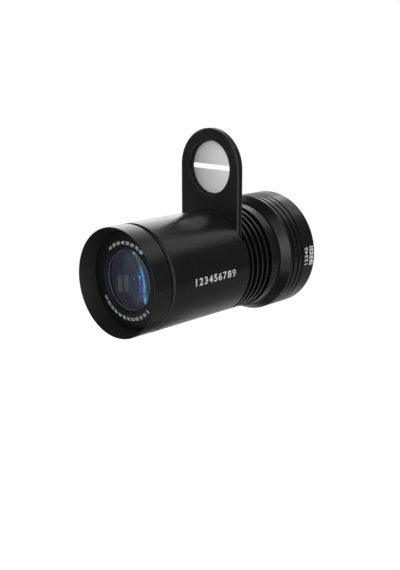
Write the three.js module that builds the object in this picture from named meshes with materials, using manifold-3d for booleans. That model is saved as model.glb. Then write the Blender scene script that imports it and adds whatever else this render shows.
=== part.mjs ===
// Gobo projector head: a focusing lens in a black barrel, a double-ended gobo slide on a holder that
// lifts out of a gate, a condenser behind the gate, and a bayonet ring at the back for the light.
// Millimetres, +Z up. The lens looks along -Y, and the origin is the centre of the rear face.
// A station is a distance behind the front rim, measured along the optical axis.

import * as THREE from "three";
import { mergeVertices } from "three/addons/utils/BufferGeometryUtils.js";
import Module from "manifold-3d";

const wasm = await Module();
wasm.setup();

// Clearances
const runningGap = 0.3;
const slideGap = 0.1;
const overrun = 1;
const mergeTolerance = 0.0001;

// Facets of round pieces, inner round pieces, small round pieces and arcs in plates
const roundSegments = 48;
const innerSegments = 32;
const smallSegments = 12;
const arcSegments = 11;
const lensSteps = 5;

// Gobo holder
const windowRadius = 14.6;
const windowSpacing = 50.8;
const holderRim = 6.05;
const frameThickness = 2.35;
const frameChamfer = 0.8;
const sheetThickness = 1.1;
const sheetLip = 0.7;

// Gobo slide
const goboThickness = 0.4;
const goboSideMargin = 1.35;
const goboEndMargin = 2.5;
const longSlitWidth = 2.6;
const longSlitLength = 32;
const shortSlitWidth = 1.3;
const shortSlitLength = 16;

// Walls from the gate outwards
const gateWall = 1.75;
const bodyWall = 2.3;
const barrelWall = 2.4;

// Barrel and focus ring, along the axis
const focusRingLength = 11.5;
const shadowGroove = 1.45;
const barrelLength = 55.9;
const barrelChamfer = 0.95;
const holderInset = 1.74;
const edgeChamfer = 0.2;

// Focus ring
const focusRingStep = 0.1;
const rimWidth = 0.35;
const hoodDepth = 8.75;
const sleeveWall = 1.4;
const sleeveReach = 17;
const focusTravel = 8;
const frictionRingWidth = 1.6;
const frictionRingInset = 4;
const frictionGrooveDepth = 0.7;
const frictionRingStandOff = 0.1;

// Lens tube and its ring
const tubeWall = 1.6;
const tubeFrontWall = 2.1;
const tubeTail = 3.4;
const nameRingOverhang = 1.05;
const nameRingRise = 1.35;
const nameRingThickness = 1.5;
const nameRingSkirtWall = 2.9;
const nameRingSkirtReach = 2;
const nameRingBevelWidth = 1.3;
const nameRingBevelDepth = 2;
const nameRingLand = 0.3;
const clipWidth = 1;
const clipHeight = 1.5;
const clipGrooveDepth = 0.6;
const clipOpeningShare = 0.08;

// Projection lenses
const lensSeatWidth = 2.5;
const lensCurvature = 60;
const lensEdge = 2.2;
const lensAirGap = 0.6;
const lensSpacerWall = 1.8;
const lensShoulder = 2;
const lensShoulderHeight = 1.6;

// Guide screw
const guideStation = 36.5;
const guideRadius = 1.3;
const guideHeadRadius = 2.1;
const guideHeadHeight = 1.4;

// Gate
const gateApertureMargin = 0.5;
const gateCoverThickness = 2.2;
const gateLipThickness = 1.5;
const gateLipHeight = 1.8;
const gateRearWall = 3.4;
const condenserSeatLength = 1.5;
const condenserSeatWall = 1.5;
const gateScrewRadius = 0.8;
const gateScrewReach = 1.7;

// Leaf spring in the gate cover
const leafLength = 16;
const leafWidth = 3.6;
const leafThickness = 0.3;
const leafBow = 0.7;
const leafMargin = 1.4;

// Fins
const finPitch = 4.04;
const finWidth = 1.4;
const finCount = 4;
const firstGroove = 2.05;
const lastGroove = 2.15;

// Condenser
const condenserCurvature = 39;
const condenserEdge = 2;
const condenserAirGap = 1.5;
const condenserSpacerWall = 1.5;
const condenserRingLength = 3;
const condenserRingWall = 2.2;
const condenserRingRecess = 0.6;

// Collar and rear housing
const collarStep = 0.8;
const collarLength = 6.4;
const rearSpigotWall = 3;
const coneWall = 3.1;
const coneRise = 2.9;
const coneLength = 5.2;
const housingLip = 2.7;
const housingGrooveStart = 2.1;
const housingGroovePitch = 4.06;
const housingGrooveWidth = 1.2;
const housingGrooveDepth = 1.6;
const housingGrooveCount = 3;

// Bayonet for a 44 mm light
const mountHoleRadius = 22;
const lugDepth = 2.2;
const lugCount = 3;
const lugNotchShare = 0.1;
const raceClearance = 0.6;
const raceLength = 11.7;
const mountRingRim = 4.8;
const mountRingThickness = 4;
const rearWall = 3;
const lipClearance = 1.5;
const mountScrewRadius = 1.05;
const mountScrewHeadRadius = 1.6;
const mountScrewHeadHeight = 0.8;
const mountScrewLength = 8;
const mountScrewRim = 0.5;
const screwSink = 0.15;

// Wave spring in the bayonet
const waveWidth = 0.8;
const waveThickness = 0.4;
const waveHeight = 0.9;
const waveCount = 3;
const waveSteps = 48;
const waveOpeningShare = 0.02;

// Radii, from the gate outwards
const holderHalfWidth = windowRadius + holderRim;
const channelHalfWidth = holderHalfWidth + runningGap;
const gateRadius = channelHalfWidth + gateWall;
const gateAperture = windowRadius + gateApertureMargin;
const bodyBore = gateRadius + runningGap;
const spigotRadius = bodyBore + bodyWall;
const barrelBore = spigotRadius + runningGap;
const barrelRadius = barrelBore + barrelWall;

// Radii of the focus unit, from the barrel inwards
const focusRingRadius = barrelRadius - focusRingStep;
const sleeveRadius = barrelBore - runningGap;
const sleeveBore = sleeveRadius - sleeveWall;
const tubeRadius = sleeveBore - runningGap;
const tubeBore = tubeRadius - tubeWall;
const nameRingRadius = tubeRadius + nameRingOverhang;
const skirtBore = tubeRadius - tubeFrontWall;
const skirtRadius = skirtBore - runningGap;
const cellBore = skirtRadius - nameRingSkirtWall;
const lensRadius = cellBore - runningGap;
const lensClearRadius = lensRadius - lensSeatWidth;

// Radii of the rear
const collarRadius = barrelRadius + collarStep;
const rearSpigotRadius = bodyBore + rearSpigotWall;
const housingBore = rearSpigotRadius + runningGap;
const coneFrontRadius = housingBore + coneWall;
const notchRadius = mountHoleRadius + lugDepth;
const raceBore = notchRadius + raceClearance;
const mountSideRadius = notchRadius + mountRingRim + runningGap + rearWall;
const housingRadius = Math.max(mountSideRadius, coneFrontRadius + coneRise);
const mountRecessRadius = housingRadius - rearWall;
const mountRingRadius = mountRecessRadius - runningGap;
const lipBore = mountHoleRadius + lipClearance;
const mountScrewCircle = mountRingRadius - mountScrewRim - mountScrewHeadRadius - runningGap;
const waveRadius = (raceBore + lipBore) / 2;

// Stations of the front
const barrelFront = focusRingLength + shadowGroove;
const barrelRear = barrelFront + barrelLength;
const nameRingRear = hoodDepth + nameRingThickness;
const skirtRear = nameRingRear + nameRingSkirtReach;
const nameRingCrest = hoodDepth - nameRingRise;
const bevelRear = nameRingCrest + nameRingBevelDepth;
const lensSeat = bevelRear + nameRingLand;
const lensSag = sag(lensCurvature, lensRadius);
const lensStandOff = sagBetween(lensCurvature, lensRadius, lensRadius - lensSpacerWall) + slideGap;
const frontLensPlane = lensSeat + slideGap;
const frontLensEdge = frontLensPlane + lensEdge;
const rearLensEdge = frontLensEdge + lensSag + lensAirGap + lensSag;
const rearLensPlane = rearLensEdge + lensEdge;
const lensSpacerFront = frontLensEdge + lensStandOff;
const lensSpacerRear = rearLensEdge - lensStandOff;
const lensShoulderFront = rearLensPlane + slideGap;
const sleeveRear = focusRingLength + sleeveReach;
const guideSlotFront = guideStation - guideRadius - runningGap;
const guideSlotRear = guideStation + focusTravel + guideRadius + runningGap;
const tubeRear = guideSlotRear + tubeTail;
const clipFront = sleeveRear + runningGap;
const frictionRear = sleeveRear - frictionRingInset;
const frictionFront = frictionRear - frictionRingWidth;

// Stations of the gate
const holderFront = barrelRear - holderInset;
const sheetFront = holderFront + frameThickness;
const sheetRear = sheetFront + sheetThickness;
const goboFront = sheetRear + slideGap;
const goboRear = goboFront + goboThickness;
const channelFront = holderFront - runningGap;
const channelRear = goboRear + runningGap;
const gateCoverFront = channelFront - gateCoverThickness;
const bodyFront = gateCoverFront - gateLipThickness;
const condenserSeatFront = channelRear + gateRearWall;
const gateRear = condenserSeatFront + condenserSeatLength;
const finsFront = barrelRear + firstGroove;
const finsRear = finsFront + finWidth + (finCount - 1) * finPitch;
const collarFront = finsRear + lastGroove;
const collarRear = collarFront + collarLength;
const gateScrewStation = finsFront + finWidth + (finPitch - finWidth) / 2;

// Stations of the condenser
const condenserRadius = bodyBore - runningGap;
const condenserSpacerBore = condenserRadius - condenserSpacerWall;
const condenserSag = sag(condenserCurvature, condenserRadius);
const spacerStandOff = sagBetween(condenserCurvature, condenserRadius, condenserSpacerBore) + runningGap;
const frontCondenserPlane = gateRear + runningGap;
const frontCondenserEdge = frontCondenserPlane + condenserEdge;
const frontCondenserVertex = frontCondenserEdge + condenserSag;
const rearCondenserVertex = frontCondenserVertex + condenserAirGap;
const rearCondenserEdge = rearCondenserVertex + condenserSag;
const rearCondenserPlane = rearCondenserEdge + condenserEdge;
const condenserRingFront = rearCondenserPlane + runningGap;
const condenserRingRear = condenserRingFront + condenserRingLength;
const bodyRear = condenserRingRear + condenserRingRecess;

// Stations of the rear
const lipFront = bodyRear + runningGap;
const raceFront = lipFront + housingLip;
const mountRingFront = raceFront + raceLength;
const overallLength = mountRingFront + mountRingThickness;
const housingFlatFront = collarRear + coneLength;

// Heights
const sawCutHeight = Math.sqrt(barrelBore ** 2 - channelHalfWidth ** 2) - runningGap;
const goboHalfWidth = holderHalfWidth - goboSideMargin;
const goboLowerCentre = goboEndMargin - goboSideMargin;
const goboUpperCentre = windowSpacing - goboLowerCentre;
const leafHeight = -(gateAperture + leafMargin + leafWidth / 2);
const gateScrewTip = gateScrewReach - gateRadius;

// The depth of a ball of this curvature between its crown and a circle on it.
function sag(curvature, radius) {
  return curvature - Math.sqrt(curvature ** 2 - radius ** 2);
}

function sagBetween(curvature, outerRadius, innerRadius) {
  return sag(curvature, outerRadius) - sag(curvature, innerRadius);
}

// Materials
function finish(colour, roughness, metalness, opacity = 1) {
  return new THREE.MeshStandardMaterial({
    color: colour,
    roughness,
    metalness,
    opacity,
    transparent: opacity < 1,
  });
}

const blackAnodised = () => finish(0x1b1b1c, 0.38, 0.6);
const mattBlack = () => finish(0x0e0e0f, 0.85, 0.1);
const blackOxide = () => finish(0x2a2a2c, 0.45, 0.8);
const brushedSteel = () => finish(0xc4c6c8, 0.35, 0.9);
const springSteel = () => finish(0x9a9ca0, 0.3, 0.9);
const rubber = () => finish(0x151515, 0.9, 0);
const clearGlass = () => finish(0xd6e2ee, 0.05, 0, 0.35);

// A closed outline of [radius, station] pairs, outer side first and front to rear, turned about the axis.
function turned(outline, segments = roundSegments) {
  const points = outline.map(([radius, station]) => new THREE.Vector2(radius, station));
  if (outline[0][0] > 0) {
    points.push(points[0].clone());
  }
  return new THREE.LatheGeometry(points, segments);
}

function ringOutline(outerRadius, innerRadius, front, rear) {
  return [[outerRadius, front], [outerRadius, rear], [innerRadius, rear], [innerRadius, front]];
}

// An outline in X and Z made into a plate that is square to the axis.
function plate(shape, front, thickness) {
  const settings = { depth: thickness, bevelEnabled: false, curveSegments: arcSegments };
  const geometry = new THREE.ExtrudeGeometry(shape, settings);
  geometry.rotateX(Math.PI / 2);
  geometry.translate(0, front + thickness, 0);
  return geometry;
}

function block(lowCorner, highCorner) {
  const [x0, y0, z0] = lowCorner;
  const [x1, y1, z1] = highCorner;
  const geometry = new THREE.BoxGeometry(x1 - x0, y1 - y0, z1 - z0);
  geometry.translate((x0 + x1) / 2, (y0 + y1) / 2, (z0 + z1) / 2);
  return geometry;
}

// A round rod along Z between two heights.
function uprightRod(radius, station, lowHeight, highHeight) {
  const geometry = new THREE.CylinderGeometry(radius, radius, highHeight - lowHeight, smallSegments);
  geometry.rotateX(Math.PI / 2);
  geometry.translate(0, station, (lowHeight + highHeight) / 2);
  return geometry;
}

// The outline of a slide or holder: straight sides between two half circles.
function stadium(radius, lowerCentre, upperCentre) {
  const shape = new THREE.Shape();
  shape.absarc(0, upperCentre, radius, 0, Math.PI, false);
  shape.absarc(0, lowerCentre, radius, Math.PI, 2 * Math.PI, false);
  shape.closePath();
  return shape;
}

function circleHole(radius, height) {
  const path = new THREE.Path();
  path.absarc(0, height, radius, 0, 2 * Math.PI, true);
  return path;
}

function slitHole(length, width, height) {
  const path = new THREE.Path();
  path.moveTo(-length / 2, height - width / 2);
  path.lineTo(-length / 2, height + width / 2);
  path.lineTo(length / 2, height + width / 2);
  path.lineTo(length / 2, height - width / 2);
  path.closePath();
  return path;
}

function solidOf(geometry) {
  const bare = geometry.clone();
  bare.deleteAttribute("normal");
  bare.deleteAttribute("uv");
  const merged = mergeVertices(bare, mergeTolerance);
  const corners = merged.index.array;
  const kept = [];
  for (let i = 0; i < corners.length; i += 3) {
    const [a, b, c] = [corners[i], corners[i + 1], corners[i + 2]];
    if (a !== b && b !== c && c !== a) {
      kept.push(a, b, c);
    }
  }
  const mesh = new wasm.Mesh({
    numProp: 3,
    vertProperties: new Float32Array(merged.attributes.position.array),
    triVerts: new Uint32Array(kept),
  });
  return new wasm.Manifold(mesh);
}

function cut(geometry, ...tools) {
  let solid = solidOf(geometry);
  for (const tool of tools) {
    solid = solid.subtract(solidOf(tool));
  }
  const mesh = solid.getMesh();
  const result = new THREE.BufferGeometry();
  result.setAttribute("position", new THREE.BufferAttribute(mesh.vertProperties, 3));
  result.setIndex(new THREE.BufferAttribute(mesh.triVerts, 1));
  result.computeVertexNormals();
  return result;
}

function piece(name, geometry, material) {
  const mesh = new THREE.Mesh(geometry, material);
  mesh.name = name;
  return mesh;
}

function group(...members) {
  const result = new THREE.Group();
  result.add(...members);
  return result;
}

// A plano-convex lens. towardsRear is 1 when its round side faces the rear and -1 when it faces the front.
function planoConvex(radius, curvature, edge, planeStation, towardsRear) {
  const crown = sag(curvature, radius);
  const arc = [];
  for (let step = 0; step <= lensSteps; step += 1) {
    const ringRadius = (radius * step) / lensSteps;
    const height = edge + crown - sag(curvature, ringRadius);
    arc.push([ringRadius, planeStation + towardsRear * height]);
  }
  if (towardsRear < 0) {
    return turned([...arc, [radius, planeStation], [0, planeStation]], innerSegments);
  }
  return turned([[0, planeStation], [radius, planeStation], ...arc.reverse()], innerSegments);
}

// A screw on its own axis, from its head at 0 to its tip.
function cylinderHeadScrew(headRadius, headHeight, shankRadius, length) {
  const head = [[0, 0], [headRadius, 0], [headRadius, headHeight]];
  const shank = [[shankRadius, headHeight], [shankRadius, length], [0, length]];
  return turned([...head, ...shank], smallSegments);
}

function countersunkScrew(headRadius, headHeight, shankRadius, length) {
  const outline = [[0, 0], [headRadius, 0], [shankRadius, headHeight], [shankRadius, length], [0, length]];
  return turned(outline, smallSegments);
}

// Focus ring: conical hood in front, threaded sleeve behind, with a groove for the friction ring
function focusRing() {
  const rimRadius = focusRingRadius - rimWidth;
  const recessRadius = nameRingRadius + runningGap;
  const grooveFront = frictionFront - runningGap;
  const grooveRear = frictionRear + runningGap;
  const grooveFloor = sleeveRadius - frictionGrooveDepth;
  return turned([
    [focusRingRadius, 0],
    [focusRingRadius, focusRingLength - edgeChamfer],
    [focusRingRadius - edgeChamfer, focusRingLength],
    [sleeveRadius, focusRingLength],
    [sleeveRadius, grooveFront],
    [grooveFloor, grooveFront],
    [grooveFloor, grooveRear],
    [sleeveRadius, grooveRear],
    [sleeveRadius, sleeveRear],
    [sleeveBore, sleeveRear],
    [sleeveBore, nameRingRear + runningGap],
    [recessRadius, nameRingRear + runningGap],
    [recessRadius, hoodDepth],
    [rimRadius, rimWidth],
    [rimRadius, 0],
  ]);
}

function frictionRing() {
  const outerRadius = sleeveRadius + frictionRingStandOff;
  const innerRadius = sleeveRadius - frictionGrooveDepth + slideGap;
  return turned(ringOutline(outerRadius, innerRadius, frictionFront, frictionRear));
}

// Lens tube: skirt bore in front, lens cell, shoulder, then a thin tube to the rear with the guide slot
function lensTube() {
  const shoulderBore = lensRadius - lensShoulderHeight;
  const shoulderRear = lensShoulderFront + lensShoulder;
  const clipFloor = tubeRadius - clipGrooveDepth;
  const clipGrooveFront = clipFront - slideGap;
  const clipGrooveRear = clipFront + clipWidth + slideGap;
  const outline = [
    [tubeRadius, nameRingRear],
    [tubeRadius, clipGrooveFront],
    [clipFloor, clipGrooveFront],
    [clipFloor, clipGrooveRear],
    [tubeRadius, clipGrooveRear],
    [tubeRadius, tubeRear],
    [tubeBore, tubeRear],
    [tubeBore, shoulderRear],
    [shoulderBore, shoulderRear],
    [shoulderBore, lensShoulderFront],
    [cellBore, lensShoulderFront],
    [cellBore, skirtRear + runningGap],
    [skirtBore, skirtRear + runningGap],
    [skirtBore, nameRingRear],
  ];
  const slotHalfWidth = guideRadius + runningGap;
  const slot = block(
    [-slotHalfWidth, guideSlotFront, -tubeRadius - overrun],
    [slotHalfWidth, guideSlotRear, -tubeBore / 2],
  );
  return cut(turned(outline, innerSegments), slot);
}

function nameRing() {
  const mouthRadius = lensClearRadius + nameRingBevelWidth;
  return turned([
    [nameRingRadius, hoodDepth],
    [nameRingRadius, nameRingRear],
    [skirtRadius, nameRingRear],
    [skirtRadius, skirtRear],
    [cellBore, skirtRear],
    [cellBore, lensSeat],
    [lensClearRadius, lensSeat],
    [lensClearRadius, bevelRear],
    [mouthRadius, nameRingCrest],
  ]);
}

function lensSpacer() {
  const spacerBore = lensRadius - lensSpacerWall;
  const outline = ringOutline(lensRadius, spacerBore, lensSpacerFront, lensSpacerRear);
  return turned(outline, innerSegments);
}

// An open ring that snaps into the tube's groove behind the focus ring's sleeve
function tubeClip() {
  const innerRadius = tubeRadius - clipGrooveDepth + runningGap;
  const outerRadius = innerRadius + clipHeight;
  const halfOpening = clipOpeningShare * Math.PI;
  const start = -Math.PI / 2 + halfOpening;
  const end = (3 * Math.PI) / 2 - halfOpening;
  const shape = new THREE.Shape();
  shape.absarc(0, 0, outerRadius, start, end, false);
  shape.absarc(0, 0, innerRadius, end, start, true);
  shape.closePath();
  return plate(shape, clipFront, clipWidth);
}

// The two lenses turn their round sides to each other.
const frontLens = planoConvex(lensRadius, lensCurvature, lensEdge, frontLensPlane, 1);
const rearLens = planoConvex(lensRadius, lensCurvature, lensEdge, rearLensPlane, -1);

const focusUnit = group(
  piece("focus_ring", focusRing(), blackAnodised()),
  piece("friction_ring", frictionRing(), rubber()),
);

const lensUnit = group(
  piece("lens_tube", lensTube(), mattBlack()),
  piece("name_ring", nameRing(), mattBlack()),
  piece("front_lens", frontLens, clearGlass()),
  piece("lens_spacer", lensSpacer(), mattBlack()),
  piece("rear_lens", rearLens, clearGlass()),
  piece("tube_clip", tubeClip(), springSteel()),
);

// The cut across the top that lets the holder in, in the barrel's end and in the first groove
function sawCut(rear) {
  const halfLength = barrelRadius + overrun;
  return block([-halfLength, channelFront, sawCutHeight], [halfLength, rear, halfLength]);
}

function channelCut(radius, lowerCentre, front, rear) {
  return plate(stadium(radius, lowerCentre, windowSpacing), front, rear - front);
}

const holderChannel = () => channelCut(channelHalfWidth, 0, channelFront, goboFront);
const goboChannel = () => channelCut(goboHalfWidth + runningGap, goboLowerCentre, channelFront, channelRear);

function barrel() {
  const tube = turned([
    [barrelRadius - barrelChamfer, barrelFront],
    [barrelRadius, barrelFront + barrelChamfer],
    [barrelRadius, barrelRear - edgeChamfer],
    [barrelRadius - edgeChamfer, barrelRear],
    [barrelBore, barrelRear],
    [barrelBore, barrelFront],
  ]);
  const below = -barrelRadius - overrun;
  const headSeat = guideHeadHeight + screwSink + runningGap - barrelRadius;
  const headHole = uprightRod(guideHeadRadius + runningGap, guideStation, below, headSeat);
  const shankHole = uprightRod(guideRadius + runningGap, guideStation, below, -sleeveBore);
  return cut(tube, sawCut(barrelRear + overrun), headHole, shankHole);
}

// The screw stands upright in the barrel's underside with its tip in the lens tube's slot.
function guideScrew() {
  const length = barrelRadius - screwSink - tubeBore - runningGap;
  const mesh = piece(
    "guide_screw",
    cylinderHeadScrew(guideHeadRadius, guideHeadHeight, guideRadius, length),
    blackOxide(),
  );
  mesh.rotation.x = Math.PI / 2;
  mesh.position.set(0, guideStation, screwSink - barrelRadius);
  return mesh;
}

// Finned body: front spigot in the barrel, fins, collar and rear spigot in the housing
function finnedBody() {
  const lipRadius = bodyBore - gateLipHeight;
  const outer = [[spigotRadius, bodyFront]];
  for (let fin = 0; fin < finCount; fin += 1) {
    const front = finsFront + fin * finPitch;
    outer.push([spigotRadius, front], [barrelRadius, front]);
    outer.push([barrelRadius, front + finWidth], [spigotRadius, front + finWidth]);
  }
  outer.push([spigotRadius, collarFront], [collarRadius, collarFront]);
  outer.push([collarRadius, collarRear], [rearSpigotRadius, collarRear]);
  outer.push([rearSpigotRadius, bodyRear]);
  const inner = [
    [bodyBore, bodyRear],
    [bodyBore, gateCoverFront],
    [lipRadius, gateCoverFront],
    [lipRadius, bodyFront],
  ];
  const screwHole = uprightRod(gateScrewRadius + runningGap, gateScrewStation, -barrelRadius, -gateAperture);
  const tools = [sawCut(finsFront), holderChannel(), goboChannel(), screwHole];
  return cut(turned([...outer, ...inner]), ...tools);
}

// Gate block: the U-shaped channel, the rear aperture and the condenser's seat
function gateBlock() {
  const seatBore = gateRadius - condenserSeatWall;
  const outline = [
    [gateRadius, channelFront],
    [gateRadius, gateRear],
    [seatBore, gateRear],
    [seatBore, condenserSeatFront],
    [gateAperture, condenserSeatFront],
    [gateAperture, channelFront],
  ];
  const holeRadius = gateScrewRadius + runningGap;
  const screwHole = uprightRod(holeRadius, gateScrewStation, -barrelRadius, gateScrewTip + runningGap);
  return cut(turned(outline, innerSegments), holderChannel(), goboChannel(), screwHole);
}

function gateScrew() {
  const length = spigotRadius - screwSink + gateScrewTip;
  const geometry = new THREE.CylinderGeometry(gateScrewRadius, gateScrewRadius, length, smallSegments);
  const mesh = piece("gate_screw", geometry, blackOxide());
  mesh.rotation.x = Math.PI / 2;
  mesh.position.set(0, gateScrewStation, gateScrewTip - length / 2);
  return mesh;
}

function gateCover() {
  const ring = turned(ringOutline(gateRadius, gateAperture, gateCoverFront, channelFront), innerSegments);
  const pocketDepth = leafBow + leafThickness + slideGap;
  const halfLength = leafLength / 2 + runningGap;
  const halfWidth = leafWidth / 2 + runningGap;
  const pocket = block(
    [-halfLength, channelFront - pocketDepth, leafHeight - halfWidth],
    [halfLength, channelFront + overrun, leafHeight + halfWidth],
  );
  return cut(ring, pocket);
}

// A bowed strip whose ends rest in the cover's pocket and whose crest presses on the holder
function holderSpring() {
  const halfLength = leafLength / 2;
  const outerRadius = (halfLength ** 2 + leafBow ** 2) / (2 * leafBow);
  const innerRadius = outerRadius - leafThickness;
  const halfAngle = Math.asin(halfLength / outerRadius);
  const shape = new THREE.Shape();
  shape.absarc(0, 0, outerRadius, Math.PI / 2 - halfAngle, Math.PI / 2 + halfAngle, false);
  shape.absarc(0, 0, innerRadius, Math.PI / 2 + halfAngle, Math.PI / 2 - halfAngle, true);
  shape.closePath();
  const settings = { depth: leafWidth, bevelEnabled: false, curveSegments: lensSteps };
  const mesh = piece("holder_spring", new THREE.ExtrudeGeometry(shape, settings), springSteel());
  mesh.position.set(0, channelFront - outerRadius, leafHeight - leafWidth / 2);
  return mesh;
}

// Condenser stack
function condenserSpacer() {
  const front = frontCondenserEdge + spacerStandOff;
  const rear = rearCondenserEdge - spacerStandOff;
  return turned(ringOutline(condenserRadius, condenserSpacerBore, front, rear), innerSegments);
}

function condenserRing() {
  const bore = condenserRadius - condenserRingWall;
  return turned(ringOutline(condenserRadius, bore, condenserRingFront, condenserRingRear), innerSegments);
}

const frontCondenser = planoConvex(condenserRadius, condenserCurvature, condenserEdge, frontCondenserPlane, 1);
const rearCondenser = planoConvex(condenserRadius, condenserCurvature, condenserEdge, rearCondenserPlane, -1);

// Rear housing: conical step, grooved band, spigot bore, lip, bayonet race and the ring's recess
function mountScrewAngle(index) {
  return -Math.PI / 2 + (index * 2 * Math.PI) / lugCount;
}

// A round rod along the axis at a mount screw's place
function screwRod(index, radius, front, rear) {
  const geometry = new THREE.CylinderGeometry(radius, radius, rear - front, smallSegments);
  const angle = mountScrewAngle(index);
  const across = mountScrewCircle * Math.cos(angle);
  const height = mountScrewCircle * Math.sin(angle);
  geometry.translate(across, (front + rear) / 2, height);
  return geometry;
}

function rearHousing() {
  const outer = [[coneFrontRadius, collarRear], [housingRadius, housingFlatFront]];
  for (let groove = 0; groove < housingGrooveCount; groove += 1) {
    const front = housingFlatFront + housingGrooveStart + groove * housingGroovePitch;
    const floor = housingRadius - housingGrooveDepth;
    outer.push([housingRadius, front], [floor, front]);
    outer.push([floor, front + housingGrooveWidth], [housingRadius, front + housingGrooveWidth]);
  }
  outer.push([housingRadius, overallLength - edgeChamfer], [housingRadius - edgeChamfer, overallLength]);
  const inner = [
    [mountRecessRadius, overallLength],
    [mountRecessRadius, mountRingFront],
    [raceBore, mountRingFront],
    [raceBore, raceFront],
    [lipBore, raceFront],
    [lipBore, lipFront],
    [housingBore, lipFront],
    [housingBore, collarRear],
  ];
  const screwTip = overallLength - mountScrewLength - runningGap;
  const tools = [];
  for (let index = 0; index < lugCount; index += 1) {
    tools.push(screwRod(index, mountScrewRadius + runningGap, screwTip, mountRingFront + overrun));
  }
  return cut(turned([...outer, ...inner]), ...tools);
}

// Mount ring: the 44 mm hole with notches that let the light's lugs through
function mountRing() {
  const shape = new THREE.Shape();
  shape.absarc(0, 0, mountRingRadius, 0, Math.PI, false);
  shape.absarc(0, 0, mountRingRadius, Math.PI, 2 * Math.PI, false);
  const hole = new THREE.Path();
  const pitch = (2 * Math.PI) / lugCount;
  const halfNotch = lugNotchShare * Math.PI;
  for (let index = 0; index < lugCount; index += 1) {
    const notch = mountScrewAngle(index) + pitch / 2;
    hole.absarc(0, 0, notchRadius, notch - halfNotch, notch + halfNotch, false);
    hole.absarc(0, 0, mountHoleRadius, notch + halfNotch, notch + pitch - halfNotch, false);
  }
  hole.closePath();
  shape.holes.push(hole);
  const shankFront = mountRingFront - overrun;
  const headFront = overallLength - screwSink - mountScrewHeadHeight - runningGap;
  const rear = overallLength + overrun;
  const tools = [];
  for (let index = 0; index < lugCount; index += 1) {
    tools.push(screwRod(index, mountScrewRadius + runningGap, shankFront, rear));
    tools.push(screwRod(index, mountScrewHeadRadius + runningGap, headFront, rear));
  }
  return cut(plate(shape, mountRingFront, mountRingThickness), ...tools);
}

function mountScrew(index) {
  const length = mountScrewLength - screwSink;
  const mesh = piece(
    `mount_screw_${index + 1}`,
    countersunkScrew(mountScrewHeadRadius, mountScrewHeadHeight, mountScrewRadius, length),
    blackOxide(),
  );
  const angle = mountScrewAngle(index);
  mesh.rotation.x = Math.PI;
  mesh.position.set(
    mountScrewCircle * Math.cos(angle),
    overallLength - screwSink,
    mountScrewCircle * Math.sin(angle),
  );
  return mesh;
}

// An open wave spring against the housing's lip
class WavePath extends THREE.Curve {
  getPoint(share, target = new THREE.Vector3()) {
    const angle = (waveOpeningShare + share * (1 - 2 * waveOpeningShare)) * 2 * Math.PI;
    const station = (Math.cos(waveCount * angle) * waveHeight) / 2;
    return target.set(waveRadius * Math.cos(angle), station, waveRadius * Math.sin(angle));
  }
}

function bayonetSpring() {
  const section = new THREE.Shape();
  section.moveTo(-waveThickness / 2, -waveWidth / 2);
  section.lineTo(waveThickness / 2, -waveWidth / 2);
  section.lineTo(waveThickness / 2, waveWidth / 2);
  section.lineTo(-waveThickness / 2, waveWidth / 2);
  section.closePath();
  const settings = { steps: waveSteps, bevelEnabled: false, extrudePath: new WavePath() };
  const mesh = piece("bayonet_spring", new THREE.ExtrudeGeometry(section, settings), springSteel());
  mesh.position.y = raceFront + runningGap + waveHeight / 2 + waveThickness / 2;
  return mesh;
}

const mountScrews = Array.from({ length: lugCount }, (_, index) => mountScrew(index));

const body = group(
  piece("barrel", barrel(), blackAnodised()),
  guideScrew(),
  piece("finned_body", finnedBody(), blackAnodised()),
  piece("gate_cover", gateCover(), mattBlack()),
  holderSpring(),
  piece("gate_block", gateBlock(), mattBlack()),
  gateScrew(),
  piece("front_condenser", frontCondenser, clearGlass()),
  piece("condenser_spacer", condenserSpacer(), mattBlack()),
  piece("rear_condenser", rearCondenser, clearGlass()),
  piece("condenser_ring", condenserRing(), mattBlack()),
  piece("rear_housing", rearHousing(), blackAnodised()),
  bayonetSpring(),
  piece("mount_ring", mountRing(), blackOxide()),
  ...mountScrews,
);

// Holder: a black frame with two round windows, and a magnet sheet on its back that holds the steel slide
function holderFrame() {
  const shape = stadium(holderHalfWidth - frameChamfer, 0, windowSpacing);
  const geometry = new THREE.ExtrudeGeometry(shape, {
    depth: frameThickness - 2 * frameChamfer,
    bevelThickness: frameChamfer,
    bevelSize: frameChamfer,
    bevelSegments: 1,
    curveSegments: arcSegments,
  });
  geometry.rotateX(Math.PI / 2);
  geometry.translate(0, sheetFront - frameChamfer, 0);
  const front = holderFront - overrun;
  const rear = sheetFront + overrun;
  const windows = [0, windowSpacing].map((height) => {
    const disc = turned([[0, front], [windowRadius, front], [windowRadius, rear], [0, rear]]);
    return disc.translate(0, 0, height);
  });
  return cut(geometry, ...windows);
}

function magnetSheet() {
  const shape = stadium(holderHalfWidth, 0, windowSpacing);
  const holeRadius = windowRadius - sheetLip;
  shape.holes.push(circleHole(holeRadius, 0), circleHole(holeRadius, windowSpacing));
  return plate(shape, sheetFront, sheetThickness);
}

function goboSlide() {
  const shape = stadium(goboHalfWidth, goboLowerCentre, goboUpperCentre);
  shape.holes.push(slitHole(longSlitLength, longSlitWidth, windowSpacing));
  shape.holes.push(slitHole(shortSlitLength, shortSlitWidth, 0));
  return plate(shape, goboFront, goboThickness);
}

const holder = group(
  piece("holder_frame", holderFrame(), blackAnodised()),
  piece("magnet_sheet", magnetSheet(), rubber()),
  piece("gobo_slide", goboSlide(), brushedSteel()),
);

const projector = group(focusUnit, lensUnit, body, holder);
projector.position.y = -overallLength;

export default projector;
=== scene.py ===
import math

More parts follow.
